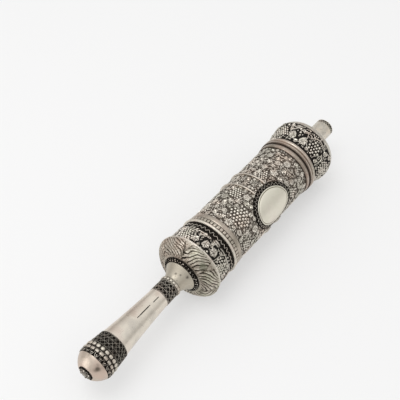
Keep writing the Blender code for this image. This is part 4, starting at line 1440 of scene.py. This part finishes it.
def makeFinial():
    # a hollow stub, stepped down under the wire band at its end
    first, last, radius, seat = finial["first"], finial["last"], finial["radius"], finial["seat"]
    step, closed = finialBand["first"] - 0.1, last - finial["wall"]
    outline = [(last, 0), (last, seat - 0.3), (last - 0.3, seat), (step, seat), (step, radius - 0.1),
               (step - 0.2, radius), (first + 0.6, radius), (first, radius + 0.2), (first, radius - 1.8),
               (closed, seat - 0.9), (closed, 0)]
    settle(spun("finialStub", outline, 108), "finial", material=finialSilver)


def makeFinialBand():
    first, last, radius = finialBand["first"], finialBand["last"], finialBand["radius"]
    cells, thickness = finialBand["cells"], finialBand["wire"]
    ground = spun("finialBand", strip(first, last, finial["seat"] - 0.3, radius), 110)
    plainTone(ground, 0)
    around = 2 * math.pi * finialBand["spread"]
    path = [(first + 0.35 if i % 2 else last - 0.35, v, 0.08)
            for i, v in enumerate(evenly(0, around, 2 * cells))]
    rings = [dense([(u, v, 0.06) for v in evenly(0, around, 4 * cells)]) for u in (first + 0.25, last - 0.25)]
    wires = [wire("bandZigzag", [dense(path)], thickness), wire("bandRings", rings, thickness)]
    stops = straightTrack(first, radius, last, radius)
    piece = decorated("finialBand", ground, wires, stops, finialBand["spread"])
    settle(piece, "finial_band", material=filigree)


makeRosette()
makeDome()
makeRopeBand()
makePommelBeads()
makeLattice("handleWideBand", "handle_wide_band", lattice["wide"])
makeHandleTube()
makeLattice("handleNarrowBand", "handle_narrow_band", lattice["narrow"])
makeNeck()
makeFlare()
makeRopeRing()
makeBulb()
makeBaseRings()
makeDrum()
makeZigzag()
makeCollar()
makeTube()
makeTubeRing("tubeRingLower", "tube_ring_lower", tubeRings["lower"])
makeTubeRing("tubeRingUpper", "tube_ring_upper", tubeRings["upper"])
makeMoulding()
makeCartoucheFrame()
makeCartouchePlate()
makeLidFlange()
makeLidBulge()
makeLidRing()
makeLidDome()
makeFinial()
makeFinialBand()
for stamp in {stamp for stamp, _ in stamps.values()} | {cushion, block}:
    bpy.data.objects.remove(stamp)

# skyShades run from below to above, and a lamp is (name, place, size, power); the camera's angles are degrees
studio = {"floor": 3.0, "floorColour": (0.43, 0.43, 0.43), "floorGlow": 0.46, "sky": 0.92,
          "skyShades": [(0.0, (0.55, 0.54, 0.53)), (0.5, (0.55, 0.54, 0.53)), (0.62, (0.62, 0.61, 0.60)),
                        (0.8, 1)],
          "lamps": (("key", (-0.95, 0.46, 0.26), 0.8, 2.1), ("topLight", (-0.2, 0.17, 1.1), 0.7, 2.6)),
          "camera": (-0.330, -0.233, 0.519), "down": 48.1, "round": -52.5, "lens": 72}


def makeFloor():
    deselectAll()
    bpy.ops.mesh.primitive_plane_add(size=studio["floor"], location=(0, 0, 0))
    floor = bpy.context.object
    floor.name = "floor"
    paper, shader = newMetal("paper")
    shader.inputs["Base Color"].default_value = (*studio["floorColour"], 1)
    shader.inputs["Roughness"].default_value = 0.9
    shader.inputs["Emission Color"].default_value = (1, 1, 1, 1)
    shader.inputs["Emission Strength"].default_value = studio["floorGlow"]
    floor.data.materials.append(paper)


def makeSky():
    # a pale ceiling over greyer walls, which the silver mirrors
    world = bpy.data.worlds.new("studioSky")
    world.use_nodes = True
    background = world.node_tree.nodes["Background"]
    coordinates = addNode(world, "ShaderNodeTexCoord")
    parts = addNode(world, "ShaderNodeSeparateXYZ")
    height = addNode(world, "ShaderNodeMapRange")
    height.inputs["From Min"].default_value = -1
    tie(world, coordinates.outputs["Generated"], parts.inputs["Vector"])
    tie(world, parts.outputs["Z"], height.inputs["Value"])
    tie(world, ramp(world, height.outputs["Result"], studio["skyShades"]), background.inputs["Color"])
    background.inputs["Strength"].default_value = studio["sky"]
    scene.world = world


def makeLamps():
    for name, place, size, power in studio["lamps"]:
        light = bpy.data.lights.new(name, "AREA")
        light.shape = "DISK"
        light.size = size
        light.energy = power
        lamp = bpy.data.objects.new(name, light)
        scene.collection.objects.link(lamp)
        lamp.location = place
        lamp.rotation_euler = Vector(place).to_track_quat("Z", "Y").to_euler()


def makeCamera():
    camera = bpy.data.objects.new("camera", bpy.data.cameras.new("camera"))
    scene.collection.objects.link(camera)
    camera.location = studio["camera"]
    camera.rotation_euler = (math.radians(90 - studio["down"]), 0, math.radians(studio["round"]))
    camera.data.lens = studio["lens"]
    camera.data.sensor_width = 36
    camera.data.clip_start = 0.01
    scene.camera = camera
    scene.view_settings.view_transform = "Standard"


makeFloor()
makeSky()
makeLamps()
makeCamera()
print("studio ready")
